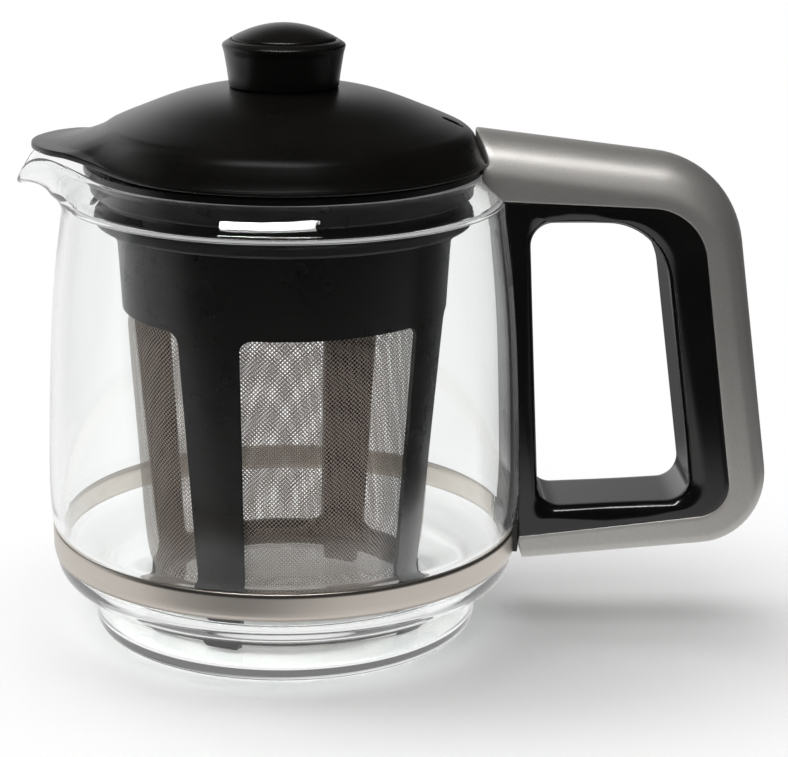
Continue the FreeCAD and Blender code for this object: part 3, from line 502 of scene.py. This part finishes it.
# %% Outlines of the loop
def loop_outline(corners, arc_points, run_points):
    """Closed outline: for each corner its arc, then the run to the next corner's arc."""
    closed = corners[-1:] + corners + corners[:1]
    threes = zip(closed, closed[1:], closed[2:])
    arcs = [rounded([a[:2] + (0,), b, c[:2] + (0,)], arc_points)[1:-1] for a, b, c in threes]
    return np.concatenate(with_runs(arcs + arcs[:1], [run_points] * len(arcs)))


LOOP_ARC, LOOP_RUN = 14, 22
loop_outside, loop_window = (loop_outline(corners, LOOP_ARC, LOOP_RUN) for corners in (
    [(60.9, 121.75, 0.6), (112.5, 119.3, 16), (124.5, 33.4, 9), (66.3, 26.75, 0.6)],
    [(66.2, 115.5, 6.3), (102.3, 115.5, 18), (113.4, 36.6, 6.3), (70.4, 34.8, 6.3)],
))
print(len(loop_outside), "points round the loop")

# %% Section of the loop
spine_heights = np.array([22.0, 29.9, 30.3, 31.5, 40.0, 50.0, 64.8,
                          81.8, 93.1, 101.4, 111.0, 117.5, 121.0, 122.5])
spine_reaches = np.array([66.2, 66.2, 65.6, 65.7, 66.0, 65.9, 65.4,
                          64.6, 63.7, 62.95, 61.7, 60.75, 60.6, 59.6])
SPINE_EDGE = 67
FADE_FROM, FADE_WIDTH, FADE_TO = 60, 12, 80


def loop_grid(half_depth=13.85, roll_width=4.6, roll_depth=3.4):
    """Stations round the loop by points around its section.

    The spine's back is drawn onto the glass.  That pull fades out along the upper and lower
    runs, and across the spine towards the opening.
    """
    span = np.linalg.norm(loop_window - loop_outside, axis=-1)
    roll = np.minimum(roll_width, 0.72 * span) / span
    turn = np.linspace(0, 0.5 * math.pi, 10)[:, None]
    flat = np.linspace(0.02, 0.94, 5)[:, None] * (1 - roll)
    over = 1 - roll + roll * np.sin(turn)
    over_y = half_depth - roll_depth * (1 - np.cos(turn))
    flat_y = np.full((len(flat), 1), half_depth)
    wall = np.linspace(0.9, -0.9, 7)[:, None]
    back = np.linspace(-0.985, 0.985, 11)[:, None]
    share = np.concatenate([flat, over, 1 + 0 * wall * span, over[::-1], flat[::-1], 0 * back * span])
    y = np.concatenate([flat_y, over_y, wall * (half_depth - roll_depth), -over_y[::-1], -flat_y,
                        back * half_depth])
    x = loop_outside[:, 0] + (loop_window[:, 0] - loop_outside[:, 0]) * share
    z = loop_outside[:, 1] + (loop_window[:, 1] - loop_outside[:, 1]) * share
    reach = np.interp(z, spine_heights, spine_reaches)
    hollow = np.sqrt(reach**2 - y**2)
    outer_x = loop_outside[:, 0]
    fade = np.clip((outer_x - FADE_FROM) / FADE_WIDTH, 0, 1)
    draw = (hollow - outer_x) * (1 - fade) * (1 - share)
    unfaded = np.where(outer_x < SPINE_EDGE, 1 / (1 - fade + 1e-9), 1)
    lean = np.clip((FADE_TO - x) / FADE_WIDTH, 0, 1)
    x = np.where(outer_x < FADE_FROM + FADE_WIDTH, x + draw * unfaded * lean, x)
    return np.stack(np.broadcast_arrays(x, y, z), -1).transpose(1, 0, 2)


loop_piece = surface("handle_black_loop", loop_grid(), close_rows=True, flip=True)

# %% [markdown]
# ## The lid
#
# The lid is a shallow dome that falls in a bell-shaped flare to a thin, rounded edge.
# Over the spout the same flare runs on into a flat tongue.  In polar form this is one grid:
# for each direction the edge has its own reach and height, the dome is the same everywhere,
# and the flare is a mix of two falls: a steep one within eight millimetres round most of
# the lid, and a long gentle hollow down to the tongue.

# %% Lid
EDGE_TOP, TONGUE_RISE = 132.4, 3.9
DOME_END = (47.5, 140.85)
EDGE, FLARE, BORE = 0.45, 7.8, 48.8


def lid_edge(angle):
    """Reach and top height of the lid's edge, by degrees from the middle of the spout."""
    reach = hermite([0, 4, 7.5, 13.5, 19.0, 25.0, 32.0, 40.0, 48.0, 180],
                    [68.0, 67.75, 66.9, 64.7, 61.3, 58.3, 56.5, 55.85, 55.8, 55.8], angle)
    top = hermite([0, 18, 25, 32, 40, 50, 62, 90, 180],
                  [136.3, 136.1, 135.3, 134.4, 133.4, 132.8, 132.5, EDGE_TOP, EDGE_TOP], angle)
    return reach, top


dome_line = spline([(0.5, 150.8), (14, 150.8), (17, 150.6), (25, 149.3), (33, 146.85),
                    (41, 143.65), (44.5, 142.2), DOME_END], 60)
reach, edge_top = lid_edge(np.abs(np.degrees(from_spout)))
tongue = (edge_top - EDGE_TOP) / TONGUE_RISE
share = np.concatenate([np.linspace(0, 0.45, 20)[:-1], np.linspace(0.45, 1, 16)])[:, None]
flare_r = DOME_END[0] + (reach - EDGE - DOME_END[0]) * share
fall = np.clip((flare_r - DOME_END[0]) / FLARE, 0, 1)
steep = hermite([0, 0.256, 0.449, 0.603, 0.731, 0.859, 1],
                [1, 0.883, 0.737, 0.55, 0.374, 0.18, 0], fall)
gentle = hermite([0, 0.125, 0.325, 0.525, 0.725, 1], [1, 0.68, 0.374, 0.165, 0.044, 0], share)
flare_z = edge_top + (DOME_END[1] - edge_top) * (steep + (gentle - steep) * tongue)
edge_low = edge_top - 1.05 - 0.55 * tongue
turn = np.linspace(0.5 * math.pi, 0, 7)[1:, None]
edge_r = reach - EDGE + EDGE * np.concatenate([np.cos(turn), np.cos(turn[::-1])])
edge_z = np.concatenate([edge_top - EDGE + EDGE * np.sin(turn),
                         edge_low + EDGE - EDGE * np.sin(turn[::-1])])
under_r = BORE + (reach - EDGE - BORE) * np.linspace(1, 0, 8)[:, None]
inner_line = rounded([(BORE, 131.2, 0), (BORE, 135.6, 1.5), (46.6, 137.2, 2), (42, 140.7, 0),
                      (33, 144.6, 0), (24.3, 147.2, 0), (14, 148.8, 4), (0.5, 148.8, 0)], 5)[1:]
lid_top = np.concatenate([
    turned(dome_line, around), polar(flare_r, flare_z, around)[1:], polar(edge_r, edge_z, around),
    polar(under_r, edge_low, around), turned(inner_line, around)])
lid_piece = surface("lid_dome", lid_top[::-1], poles=True)

# %% [markdown]
# Near the handle a short slot lets steam out, and beside it a round notch keeps clear of the
# arm's nose.  Each cutter is taken away from the lid by a boolean, and the modifier is
# applied at once.

# %% Steam slot and notch
def prism(ring, heights):
    """Grid of a ring of (x, y) points repeated at each height."""
    return np.stack([np.column_stack([ring, np.full(len(ring), z)]) for z in heights])


def stadium(length, width, steps=12):
    """Ring of (x, y) points with round ends, lying along x."""
    turn = np.linspace(-0.5 * math.pi, 0.5 * math.pi, steps)
    right = np.stack([length / 2 - width / 2 + width / 2 * np.cos(turn), width / 2 * np.sin(turn)], -1)
    return np.concatenate([right, -right])


def carve(piece, cutter):
    """Takes the cutter away from the piece for good, and removes the cutter."""
    modifier = piece.modifiers.new("carve", "BOOLEAN")
    modifier.object, modifier.operation, modifier.solver = cutter, "DIFFERENCE", "EXACT"
    evaluated = piece.evaluated_get(bpy.context.evaluated_depsgraph_get())
    carved = bpy.data.meshes.new_from_object(evaluated)
    piece.modifiers.clear()
    piece.data = carved
    bpy.data.objects.remove(cutter)
    print(piece.name, "carved:", len(carved.polygons), "faces")


SLOT_REACH, SLOT_TURN = 45.5, math.radians(-5)
NOTCH_HALF, NOTCH_OUT, NOTCH_GAP = 14.0, 70.0, 0.5
cosine, sine = math.cos(SLOT_TURN), math.sin(SLOT_TURN)
slot_ring = (stadium(6.0, 3.0) + (SLOT_REACH, 0)) @ np.array([(cosine, sine), (-sine, cosine)])
carve(lid_piece, surface("slot_cutter", prism(slot_ring, np.linspace(136, 146, 4)), poles=True))
notch_side = np.linspace(-NOTCH_HALF, NOTCH_HALF, 41)
notch_arc = np.column_stack([nose(notch_side, NOTCH_GAP), notch_side])[::-1]
notch_ring = np.concatenate([notch_arc, [(NOTCH_OUT, -NOTCH_HALF), (NOTCH_OUT, NOTCH_HALF)]])
carve(lid_piece, surface("notch_cutter", prism(notch_ring, (125.0, 138.0, 150.0)), poles=True))

# %% [markdown]
# ## The knob and its cap
#
# The knob flares gently from its base, turns over a rounded brim and dips to a recess that
# holds a shallow domed cap.  Both are turned, and the narrow groove between them tells the
# eye that there are two pieces.

# %% Knob and cap
round_turn = np.linspace(0, 2 * math.pi, 129)[:-1]
knob_line = rounded([(0.5, 150.8, 0), (14.75, 150.8, 0.7), (15.3, 155.1, 20), (16.1, 160.0, 9),
                     (16.72, 162.15, 0.8), (14.2, 163.75, 0.25), (14.15, 163.0, 0), (0.5, 163.0, 0)])
knob_piece = surface("knob_body", turned(refined(knob_line, 1.0), round_turn), poles=True)
cap_reach = np.linspace(13.6, 0.5, 16)
cap_dome = np.column_stack([cap_reach, 167.7 - 0.0195 * cap_reach**2])
cap_side = rounded([(0.5, 163.1, 0), (13.95, 163.1, 0), (13.95, 163.95, 0.3), (13.6, 164.1, 0)])
cap_line = np.concatenate([cap_side[:-1], cap_dome])
cap_piece = surface("knob_cap_disc", turned(refined(cap_line, 1.5), round_turn), poles=True)

# %% [markdown]
# ## The woven mesh
#
# The basket's wall is fine plain-woven wire.  Tens of thousands of crossings are too many to
# model, so the wall is one smooth skin that swells a little between the ribs.  The cloth was
# cut on the bias, so its wires run up at 45 degrees to both sides, and the UV map counts the
# diamonds between them: u around, v upwards.  The count around is even, so that the over and
# under of the weave meets itself at the seam.

# %% Mesh wall and floor
DIAMOND = 1.24
MEAN_REACH = 40.4
FIRST_RIB, RIB_PITCH = 63, 90
mesh_turn = np.linspace(0, 2 * math.pi, 361)
mesh_line = refined(np.array([(35.8, 10.8), (35.8, 14.9), (42.2, 88.5), (42.2, 93.6)]), 2.0)
mesh_points = turned(mesh_line, mesh_turn)
half_pitch = RIB_PITCH / 2
from_rib = np.abs((np.degrees(mesh_turn) - FIRST_RIB + half_pitch) % RIB_PITCH - half_pitch)
belly = hermite([0, 13, 24, 34, 45], [0, 0, 0.75, 0.97, 1], from_rib)
swell = hermite([10, 11.5, 16, 25, 57, 86, 92, 94],
                [0, 0, 1.7, 2.6, 1.9, 1.2, 0, 0], mesh_line[:, 1])
mesh_points[..., :2] *= 1 + (swell[:, None] * belly / mesh_line[:, :1])[..., None]
climb = travelled(mesh_line)
wires = 2 * round(math.pi * MEAN_REACH / DIAMOND)
counts = mesh_turn / (2 * math.pi) * wires, climb[:, None] / DIAMOND
mesh_uv = np.stack(np.broadcast_arrays(*counts), -1)
mesh_wall = surface("mesh_wall_weave", mesh_points, close_columns=False, uv=mesh_uv)
disc_line = np.array([(0.5, 11.0), (12, 11.0), (24, 11.0), (35.1, 11.0)])
disc_points = turned(disc_line, mesh_turn)[::-1]
disc_uv = disc_points[..., :2] / DIAMOND
mesh_floor = surface("mesh_floor_weave", disc_points, close_columns=False, uv=disc_uv)
print(wires, "diamonds around,", round(climb[-1] / DIAMOND), "up")

# %% [markdown]
# ## Materials by expression
#
# A pattern is arithmetic on coordinates.  Written as nodes by hand it is hard to read, so a
# small class wraps a socket and lets Python's operators add the Math nodes.  One method makes
# every node: its sockets' values or links come in a dictionary, its settings by name.

# %% Sockets as numbers
def operator(operation, swapped=False):
    """Method of a Value that adds a Math node."""
    def method(self, other):
        return self.finish.math(operation, *((other, self) if swapped else (self, other)))
    return method


class Value:
    """A shader socket that can stand in an expression."""

    def __init__(self, finish, socket):
        self.finish, self.socket = finish, socket

    __add__ = __radd__ = operator("ADD")
    __sub__, __rsub__ = operator("SUBTRACT"), operator("SUBTRACT", swapped=True)
    __mul__ = __rmul__ = operator("MULTIPLY")
    __truediv__ = operator("DIVIDE")
    __lt__, __gt__ = operator("LESS_THAN"), operator("GREATER_THAN")


class Finish:
    """One material: a Principled shader and the nodes that feed it."""

    def __init__(self, name, **settings):
        self.material = bpy.data.materials.new(name)
        self.material.use_nodes = True
        self.tree = self.material.node_tree
        self.tree.nodes.clear()
        self.shader = self.node("BsdfPrincipled")
        self.sockets = self.shader.socket.node.inputs
        for socket, value in settings.items():
            self.sockets[socket.replace("_", " ")].default_value = value
        self.output = self.node("OutputMaterial", {"Surface": self.shader}, output=None)

    def node(self, kind, inputs=(), output=0, **settings):
        """A node of a kind, with its settings and its sockets' values or links."""
        made = self.tree.nodes.new("ShaderNode" + kind)
        for key, value in settings.items():
            setattr(made, key, value)
        for key, value in dict(inputs).items():
            if isinstance(value, Value):
                self.tree.links.new(value.socket, made.inputs[key])
            else:
                made.inputs[key].default_value = value
        return Value(self, made if output is None else made.outputs[output])

    def math(self, operation, *values):
        return self.node("Math", enumerate(values), operation=operation)

    def feed(self, **links):
        """Links values to the Principled shader's own sockets, and hands back the material."""
        for socket, value in links.items():
            self.tree.links.new(value.socket, self.sockets[socket.replace("_", " ")])
        return self.material

    def place(self):
        """Object coordinates, in metres."""
        return self.node("TexCoord", output="Object")

    def noise(self, vector, scale, detail, roughness=0.5):
        return self.node("TexNoise", {"Vector": vector, "Scale": scale, "Detail": detail,
                                      "Roughness": roughness})

    def blend(self, share, low, high):
        """Colour between two colours."""
        return self.node("Mix", {0: share, 6: low, 7: high}, 2, data_type="RGBA")

    def bump(self, height, distance, strength=1.0):
        """Normals from a height between 0 and 1 that stands for distance in metres."""
        return self.node("Bump", {"Height": height, "Distance": distance, "Strength": strength})

    def path(self, *names):
        """What is known of the ray that meets the surface."""
        return self.several(self.node("LightPath", output=None), names)

    def parts(self, vector, count=3):
        """The first few of a vector's three numbers."""
        return self.several(self.node("SeparateXYZ", {0: vector}, output=None), range(count))

    def several(self, made, keys):
        return [Value(self, made.socket.outputs[key]) for key in keys]

    def mix(self, share, first, second):
        """One shader at a share of 0, the other at 1."""
        return self.node("MixShader", {0: share, 1: first, 2: second})

    def white(self, strength):
        return self.node("Emission", {"Color": (1, 1, 1, 1), "Strength": strength})

    def show(self, shader):
        """Sends a shader to the output instead, and hands back the material."""
        self.tree.links.new(shader.socket, self.output.socket.inputs["Surface"])
        return self.material


def ease(value, low, high):
    """0 below low, 1 above high, smooth between."""
    return value.finish.node("MapRange", {"Value": value, "From Min": low, "From Max": high},
                             interpolation_type="SMOOTHSTEP")


# %% [markdown]
# ## Clear glass
#
# Clean soda-lime glass: fully transmitting, with an index near one and a half.  Blown walls
# are never quite even, so a slow noise bends the normals very slightly.  Lamps would throw
# black shadows through it, because a renderer can't guess caustics, so rays towards lamps
# pass a plain transparent shader instead.  A ray on its sixth bounce or later picks up a
# little white, in place of the light that is lost where the renderer cuts its path.

# %% Glass material
EARLY_BOUNCES = 5.0


def clear_glass():
    finish = Finish("clear_glass", IOR=1.47, Transmission_Weight=1.0, Emission_Strength=0.17)
    place = finish.place()
    wave = finish.noise(place, 22.0, 1.0)
    smear = finish.noise(place, 60.0, 3.0)
    tint = finish.blend(smear, (0.972, 0.982, 0.976, 1), (0.985, 0.992, 0.988, 1))
    depth, towards_lamp = finish.path("Ray Depth", "Is Shadow Ray")
    late = finish.blend(depth > EARLY_BOUNCES, (0, 0, 0, 1), (1, 1, 1, 1))
    finish.feed(Base_Color=tint, Roughness=ease(smear, 0.45, 0.9) * 0.012, Emission_Color=late,
                Normal=finish.bump(wave, 0.0002, 0.5))
    clear = finish.node("BsdfTransparent", {"Color": (0.93, 0.94, 0.935, 1)})
    return finish.show(finish.mix(towards_lamp, finish.shader, clear))


# %% [markdown]
# ## Brushed steel and satin silver
#
# The band was brushed along its length, so its scratches run round the jug.  Noise read on
# (angle, height) stretched hundreds of times along the angle gives such lines, and they
# drive the roughness, the colour and a faint bump.  The handle's silver is a metallic paint:
# tiny flakes sparkle in it, and wide soft patches keep it from looking like plastic.

# %% Metals
def band_steel():
    finish = Finish("band_steel", Metallic=1.0)
    x, y, z = finish.parts(finish.place())
    angle = finish.math("ARCTAN2", y, x)
    fine = finish.node("CombineXYZ", {0: angle * 3.0, 1: z * 5200.0, 2: 0.0})
    brush = finish.noise(fine, 1.0, 4.0, 0.65)
    coarse = finish.node("CombineXYZ", {0: angle * 2.0, 1: z * 300.0, 2: 0.0})
    slow = finish.noise(coarse, 1.0, 2.0)
    colour = finish.blend(brush * 0.7 + slow * 0.3, (0.50, 0.455, 0.405, 1), (0.68, 0.63, 0.575, 1))
    return finish.feed(Base_Color=colour, Roughness=0.24 + brush * 0.16,
                       Normal=finish.bump(brush, 0.00002, 0.5))


def silver_satin():
    finish = Finish("silver_satin", Metallic=0.85, Coat_Weight=0.15, Coat_Roughness=0.3)
    place = finish.place()
    flake = finish.node("TexVoronoi", {"Vector": place, "Scale": 5200.0}, output="Color")
    flake = finish.node("SeparateColor", {0: flake})
    patch = finish.noise(place, 34.0, 3.0)
    colour = finish.blend(flake * 0.6 + patch * 0.4, (0.40, 0.385, 0.365, 1), (0.52, 0.505, 0.485, 1))
    return finish.feed(Base_Color=colour, Roughness=0.39 + flake * 0.06 + patch * 0.05,
                       Normal=finish.bump(flake, 0.00001, 0.25))


def fastener_steel():
    finish = Finish("fastener_steel", Metallic=1.0)
    grain = finish.noise(finish.place(), 900.0, 3.0)
    colour = finish.blend(grain, (0.50, 0.50, 0.50, 1), (0.66, 0.66, 0.65, 1))
    return finish.feed(Base_Color=colour, Roughness=0.28 + grain * 0.15)


# %% [markdown]
# ## Black plastics and rubber
#
# Four blacks share the teapot and differ only in how they shine.  The lid, knob and frame
# are moulded in a spark-eroded tool, which leaves a fine grain; the loop is polished and
# shows a faint orange peel; the liner is duller; the rubber is dullest and a little dusty.
# One function makes them all, each from a row of numbers in a table.

# %% Blacks
def black(name, low, high, rough, spread, grain_scale, grain_depth, peel_depth=0.0, coat=0.0):
    """Black finish: colour and roughness follow slow patches, the normal follows a fine grain."""
    finish = Finish(name, Coat_Weight=coat, Coat_Roughness=0.08, Specular_IOR_Level=0.4)
    place = finish.place()
    patch = finish.noise(place, 45.0, 4.0, 0.6)
    grain = finish.noise(place, grain_scale, 2.0)
    peel = finish.noise(place, 260.0, 1.0)
    height = grain * grain_depth + peel * peel_depth
    colour = finish.blend(ease(patch, 0.3, 0.75), low + (1,), high + (1,))
    return finish.feed(Base_Color=colour, Roughness=rough + patch * spread,
                       Normal=finish.bump(height, 0.001))


BLACKS = {
    "black_satin": ((0.0030, 0.0027, 0.0024), (0.0048, 0.0043, 0.0038), 0.24, 0.08, 2600.0, 0.006),
    "black_gloss": ((0.0030, 0.0029, 0.0028), (0.0050, 0.0048, 0.0045), 0.14, 0.06, 2200.0, 0.001,
                    0.004, 0.3),
    "liner_black": ((0.008, 0.008, 0.008), (0.013, 0.0125, 0.0125), 0.42, 0.15, 2000.0, 0.010),
    "silicone_black": ((0.006, 0.006, 0.006), (0.011, 0.0105, 0.0105), 0.34, 0.12, 1500.0, 0.006),
}

# %% [markdown]
# ## The weave
#
# The sum and the difference of u and v count the wires of the two families, so the fraction
# of either is the place across one wire.  A wire is there where that fraction is near a
# half, and its height swings like a sine along its length, over one crossing and under the
# next, while the other family swings the other way.  Where neither is, the surface is open.
# Crests are painted bright as a highlight and troughs painted dark as shade, which at this size says
# more than true relief could.

# %% Weave material
WIRE_HALF = 0.142


def mesh_steel():
    finish = Finish("mesh_steel", Metallic=0.6)
    around_count, up_count = finish.parts(finish.node("UVMap", uv_map="weave"), 2)
    u, v = around_count + up_count, around_count - up_count
    across_u, across_v = finish.math("FRACT", u) - 0.5, finish.math("FRACT", v) - 0.5
    row_u, row_v = finish.math("FLOOR", u), finish.math("FLOOR", v)

    def wire(across, along, row):
        """Inside mask, roundness and swing of one family of wires."""
        off = finish.math("ABSOLUTE", across) / WIRE_HALF
        mask = off < 1.0
        dome = finish.math("SQRT", finish.math("MAXIMUM", 1.0 - off * off, 0.0))
        swing = finish.math("SINE", (along + row) * math.pi)
        return mask, dome, swing

    up_mask, up_dome, up_swing = wire(across_u, v, row_u)
    level_mask, level_dome, level_swing = wire(across_v, u, row_v)
    up_height = up_mask * (0.35 + 0.3 * up_dome + 0.35 * up_swing)
    level_height = level_mask * (0.35 + 0.3 * level_dome - 0.35 * level_swing)
    height = finish.math("MAXIMUM", up_height, level_height)
    cover = finish.math("MAXIMUM", up_mask, level_mask)
    # painted light: the colour runs from painted shade in the troughs to a painted highlight on the
    # crests
    colour = finish.blend(ease(height, 0.25, 0.95), (0.035, 0.026, 0.021, 1), (0.58, 0.49, 0.43, 1))
    return finish.feed(Base_Color=colour, Roughness=0.5 - 0.15 * up_dome, Alpha=cover,
                       Normal=finish.bump(height, 0.0001, 0.35))


# %% [markdown]
# ## Dressing the parts
#
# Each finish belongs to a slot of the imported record.  Our own pieces ride on a body of the
# frame and hide the CAD nodes that they stand for; every other node keeps its mesh and only
# gets its material.

# %% Assign everything
finishes = {make.__name__: make() for make in (clear_glass, band_steel, silver_satin,
                                               fastener_steel, mesh_steel)}
finishes.update({name: black(name, *numbers) for name, numbers in BLACKS.items()})
slot_of = {part["node"]: part["material_slot"] for part in frame["record"]["subparts"]}


def dress(piece, slot):
    piece.data.materials.clear()
    piece.data.materials.append(finishes[slot])


def stand_in(piece, body, slot, *replaced):
    """Our piece in place of CAD nodes: it rides, takes a slot's finish and hides them."""
    dress(piece, slot)
    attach(piece, body)
    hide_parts(*replaced)


for name, node in nodes.items():
    dress(node, slot_of[name])
stand_in(glass, "jug", "clear_glass", "glass_jug")
stand_in(band, "jug", "band_steel", "steel_band")
stand_in(shell_piece, "jug", "silver_satin", "handle_shell", "arm_end_cap")
stand_in(loop_piece, "jug", "black_gloss", "handle_loop")
stand_in(lid_piece, "lid", "black_satin", "lid_cover")
stand_in(knob_piece, "lid", "black_satin", "lid_knob")
stand_in(cap_piece, "lid", "black_satin", "knob_cap")
stand_in(mesh_wall, "infuser", "mesh_steel", "infuser_mesh_wall")
stand_in(mesh_floor, "infuser", "mesh_steel", "infuser_mesh_floor")
print(len(finishes), "finishes on", len(nodes), "nodes and the new pieces")

# %% [markdown]
# ## Floor, light and air
#
# The teapot stands on white, but the room in front of it is dark: that is what keeps black
# plastic black.  The floor near the foot is a plain diffuse plane that holds the shadow, and
# further out it turns into pure white for the camera and for rays that pass through glass.
# Rays that a surface mirrored meet a painted reflection instead: the floor's emission, bright
# behind the teapot, and dim with painted shade in five zones, which are close in front, further
# in front, at the right, behind on the handle's side, and in the left front corner.

# %% What a ray has met
def ray_story(finish):
    """Two masks: rays that look straight or through glass, and rays that a surface mirrored."""
    glossy, diffuse, through, straight = finish.path(
        "Glossy Depth", "Diffuse Depth", "Is Transmission Ray", "Is Camera Ray")
    glossy, diffuse = (finish.math("MINIMUM", depth, 1.0) for depth in (glossy, diffuse))
    through = through * (1 - glossy) * (1 - diffuse)
    return finish.math("MAXIMUM", straight, through), glossy * (1 - diffuse)


# %% Floor
WHITE_FROM, WHITE_TO = 0.065, 0.15
FLOOR_DIM, FLOOR_BRIGHT = 0.03, 0.9
FLOOR_END = 4000


def white_floor():
    """Shadow near the foot, white further out, and in mirrors a painted reflection of bright and dim
    zones.
    """
    finish = Finish("white_floor", Roughness=0.9, Base_Color=(0.86, 0.86, 0.86, 1))
    x, y = finish.parts(finish.place(), 2)
    ahead = 0.0 - y
    away = finish.math("SQRT", (x - 0.03) * (x - 0.03) * 0.55 + y * y)
    seen, mirrored = ray_story(finish)
    lift = finish.node("AddShader", {0: finish.shader, 1: finish.white(0.06)})
    near = finish.mix(seen, finish.shader, lift)
    looked_at = finish.mix(seen * ease(away, WHITE_FROM, WHITE_TO), near, finish.white(1.0))
    # painted shade in the mirrored floor: each zone below dims the emission that mirrors see
    front = ease(ahead, 0.13, 0.21)
    close = (1 - ease(finish.math("ABSOLUTE", x + 0.045), 0.0, 0.10)) * ease(ahead, 0.06, 0.11)
    right = ease(x - 0.6 * y, 0.16, 0.36)
    shade = ease(x, -0.10, 0.06) * ease(y, 0.04, 0.15) * (1 - 0.5 * ease(y, 0.45, 0.8))
    corner = ease(0.0 - x, 0.07, 0.13) * ease(ahead, 0.08, 0.13)
    bright = FLOOR_BRIGHT
    for depth, zone in ((1, front), (0.65, close), (0.85, right), (0.9, shade), (0.9, corner)):
        bright = bright * (1 - depth * zone)
    return finish.show(finish.mix(mirrored, looked_at, finish.white(FLOOR_DIM + bright)))


floor_corners = [[(x, y, 0) for x in (-FLOOR_END, FLOOR_END)] for y in (-FLOOR_END, FLOOR_END)]
floor = surface("floor", np.array(floor_corners, float), close_columns=False)
floor.data.materials.append(white_floor())

# %% [markdown]
# The world is even and dim for soft light, and white where it is seen.  Rays that a surface
# mirrored find it bright only low down, behind the teapot and to its left.

# %% World
AIR_EVEN, AIR_DIM, AIR_BRIGHT = 0.2, 0.02, 0.9


def studio_air():
    world = bpy.data.worlds.new("studio_air")
    world.use_nodes = True
    finish = Finish.__new__(Finish)
    finish.tree = world.node_tree
    finish.tree.nodes.clear()
    x, y, z = finish.parts(finish.node("TexCoord", output="Generated"))
    seen, mirrored = ray_story(finish)
    behind = ease(0.7 * y - 0.6 * x, 0.3, 0.85) * (1 - ease(z, 0.25, 0.75))
    glow = AIR_DIM + AIR_BRIGHT * behind
    strength = AIR_EVEN + mirrored * (glow - AIR_EVEN)
    strength = strength + seen * (1 - strength)
    lit = finish.node("Background", {"Color": (1, 1, 1, 1), "Strength": strength})
    finish.node("OutputWorld", {"Surface": lit}, output=None)
    return world


bpy.context.scene.world = studio_air()

# %% [markdown]
# Ten rectangular lamps light the teapot.  The key strip spares the lid and the floor.  The
# four after it each light one piece only and shape its highlights.  The last five fill the
# shadows and are not seen in any surface.

# %% Soft boxes
def soft_box(name, place, target, width, height, power, mirrored=True, only=(), spare=()):
    """Area lamp at a place in metres, facing a target; it may light or spare some pieces only."""
    lamp = bpy.data.lights.new(name, "AREA")
    lamp.shape, lamp.size, lamp.size_y, lamp.energy = "RECTANGLE", width, height, power
    box = bpy.data.objects.new(name, lamp)
    box.rotation_euler = (Vector(target) - Vector(place)).to_track_quat("-Z", "Y").to_euler()
    box.location = place
    box.visible_glossy, box.visible_transmission = mirrored, mirrored and not only
    if only or spare:
        linked = bpy.data.collections.new("linked_to_" + name)
        for piece in only or spare:
            linked.objects.link(piece)
        for entry in linked.collection_objects:
            entry.light_linking.link_state = "INCLUDE" if only else "EXCLUDE"
        box.light_linking.receiver_collection = linked
    bpy.context.scene.collection.objects.link(box)


soft_box("key_strip", (-0.08, -0.26, 1.14), (0.02, 0, 0.12), 0.66, 0.14, 6.2, spare=(lid_piece, floor))
soft_box("lid_sheen", (-0.08, -0.26, 1.14), (0.02, 0, 0.12), 0.66, 0.3, 1.2, only=(lid_piece,))
soft_box("glass_strip", (-0.09, -0.22, 1.15), (0, 0, 0.12), 0.62, 0.2, 9.0, only=(glass,))
soft_box("silver_wash", (0.05, -0.95, 0.75), (0.1, 0, 0.12), 1.3, 0.9, 2.6, only=(shell_piece,))
soft_box("silver_strip", (0.40, -0.22, 1.10), (0.1, 0, 0.12), 0.3, 0.14, 0.9, only=(shell_piece,))
soft_box("fill_back", (-0.50, 0.34, 0.95), (0, 0, 0.04), 1.2, 1.2, 8.0, mirrored=False)
soft_box("fill_top", (0.02, 0.05, 1.25), (0, 0, 0.04), 1.6, 1.6, 9.0, mirrored=False)
soft_box("fill_front", (-0.35, -1.1, 0.75), (0, 0, 0.08), 0.9, 0.6, 2.5, mirrored=False)
soft_box("side_left", (-1.05, 0.30, 0.42), (0, 0, 0.08), 0.5, 0.7, 2.5, mirrored=False)
soft_box("side_right", (1.05, 0.20, 0.45), (0, 0, 0.08), 0.4, 0.7, 1.0, mirrored=False)
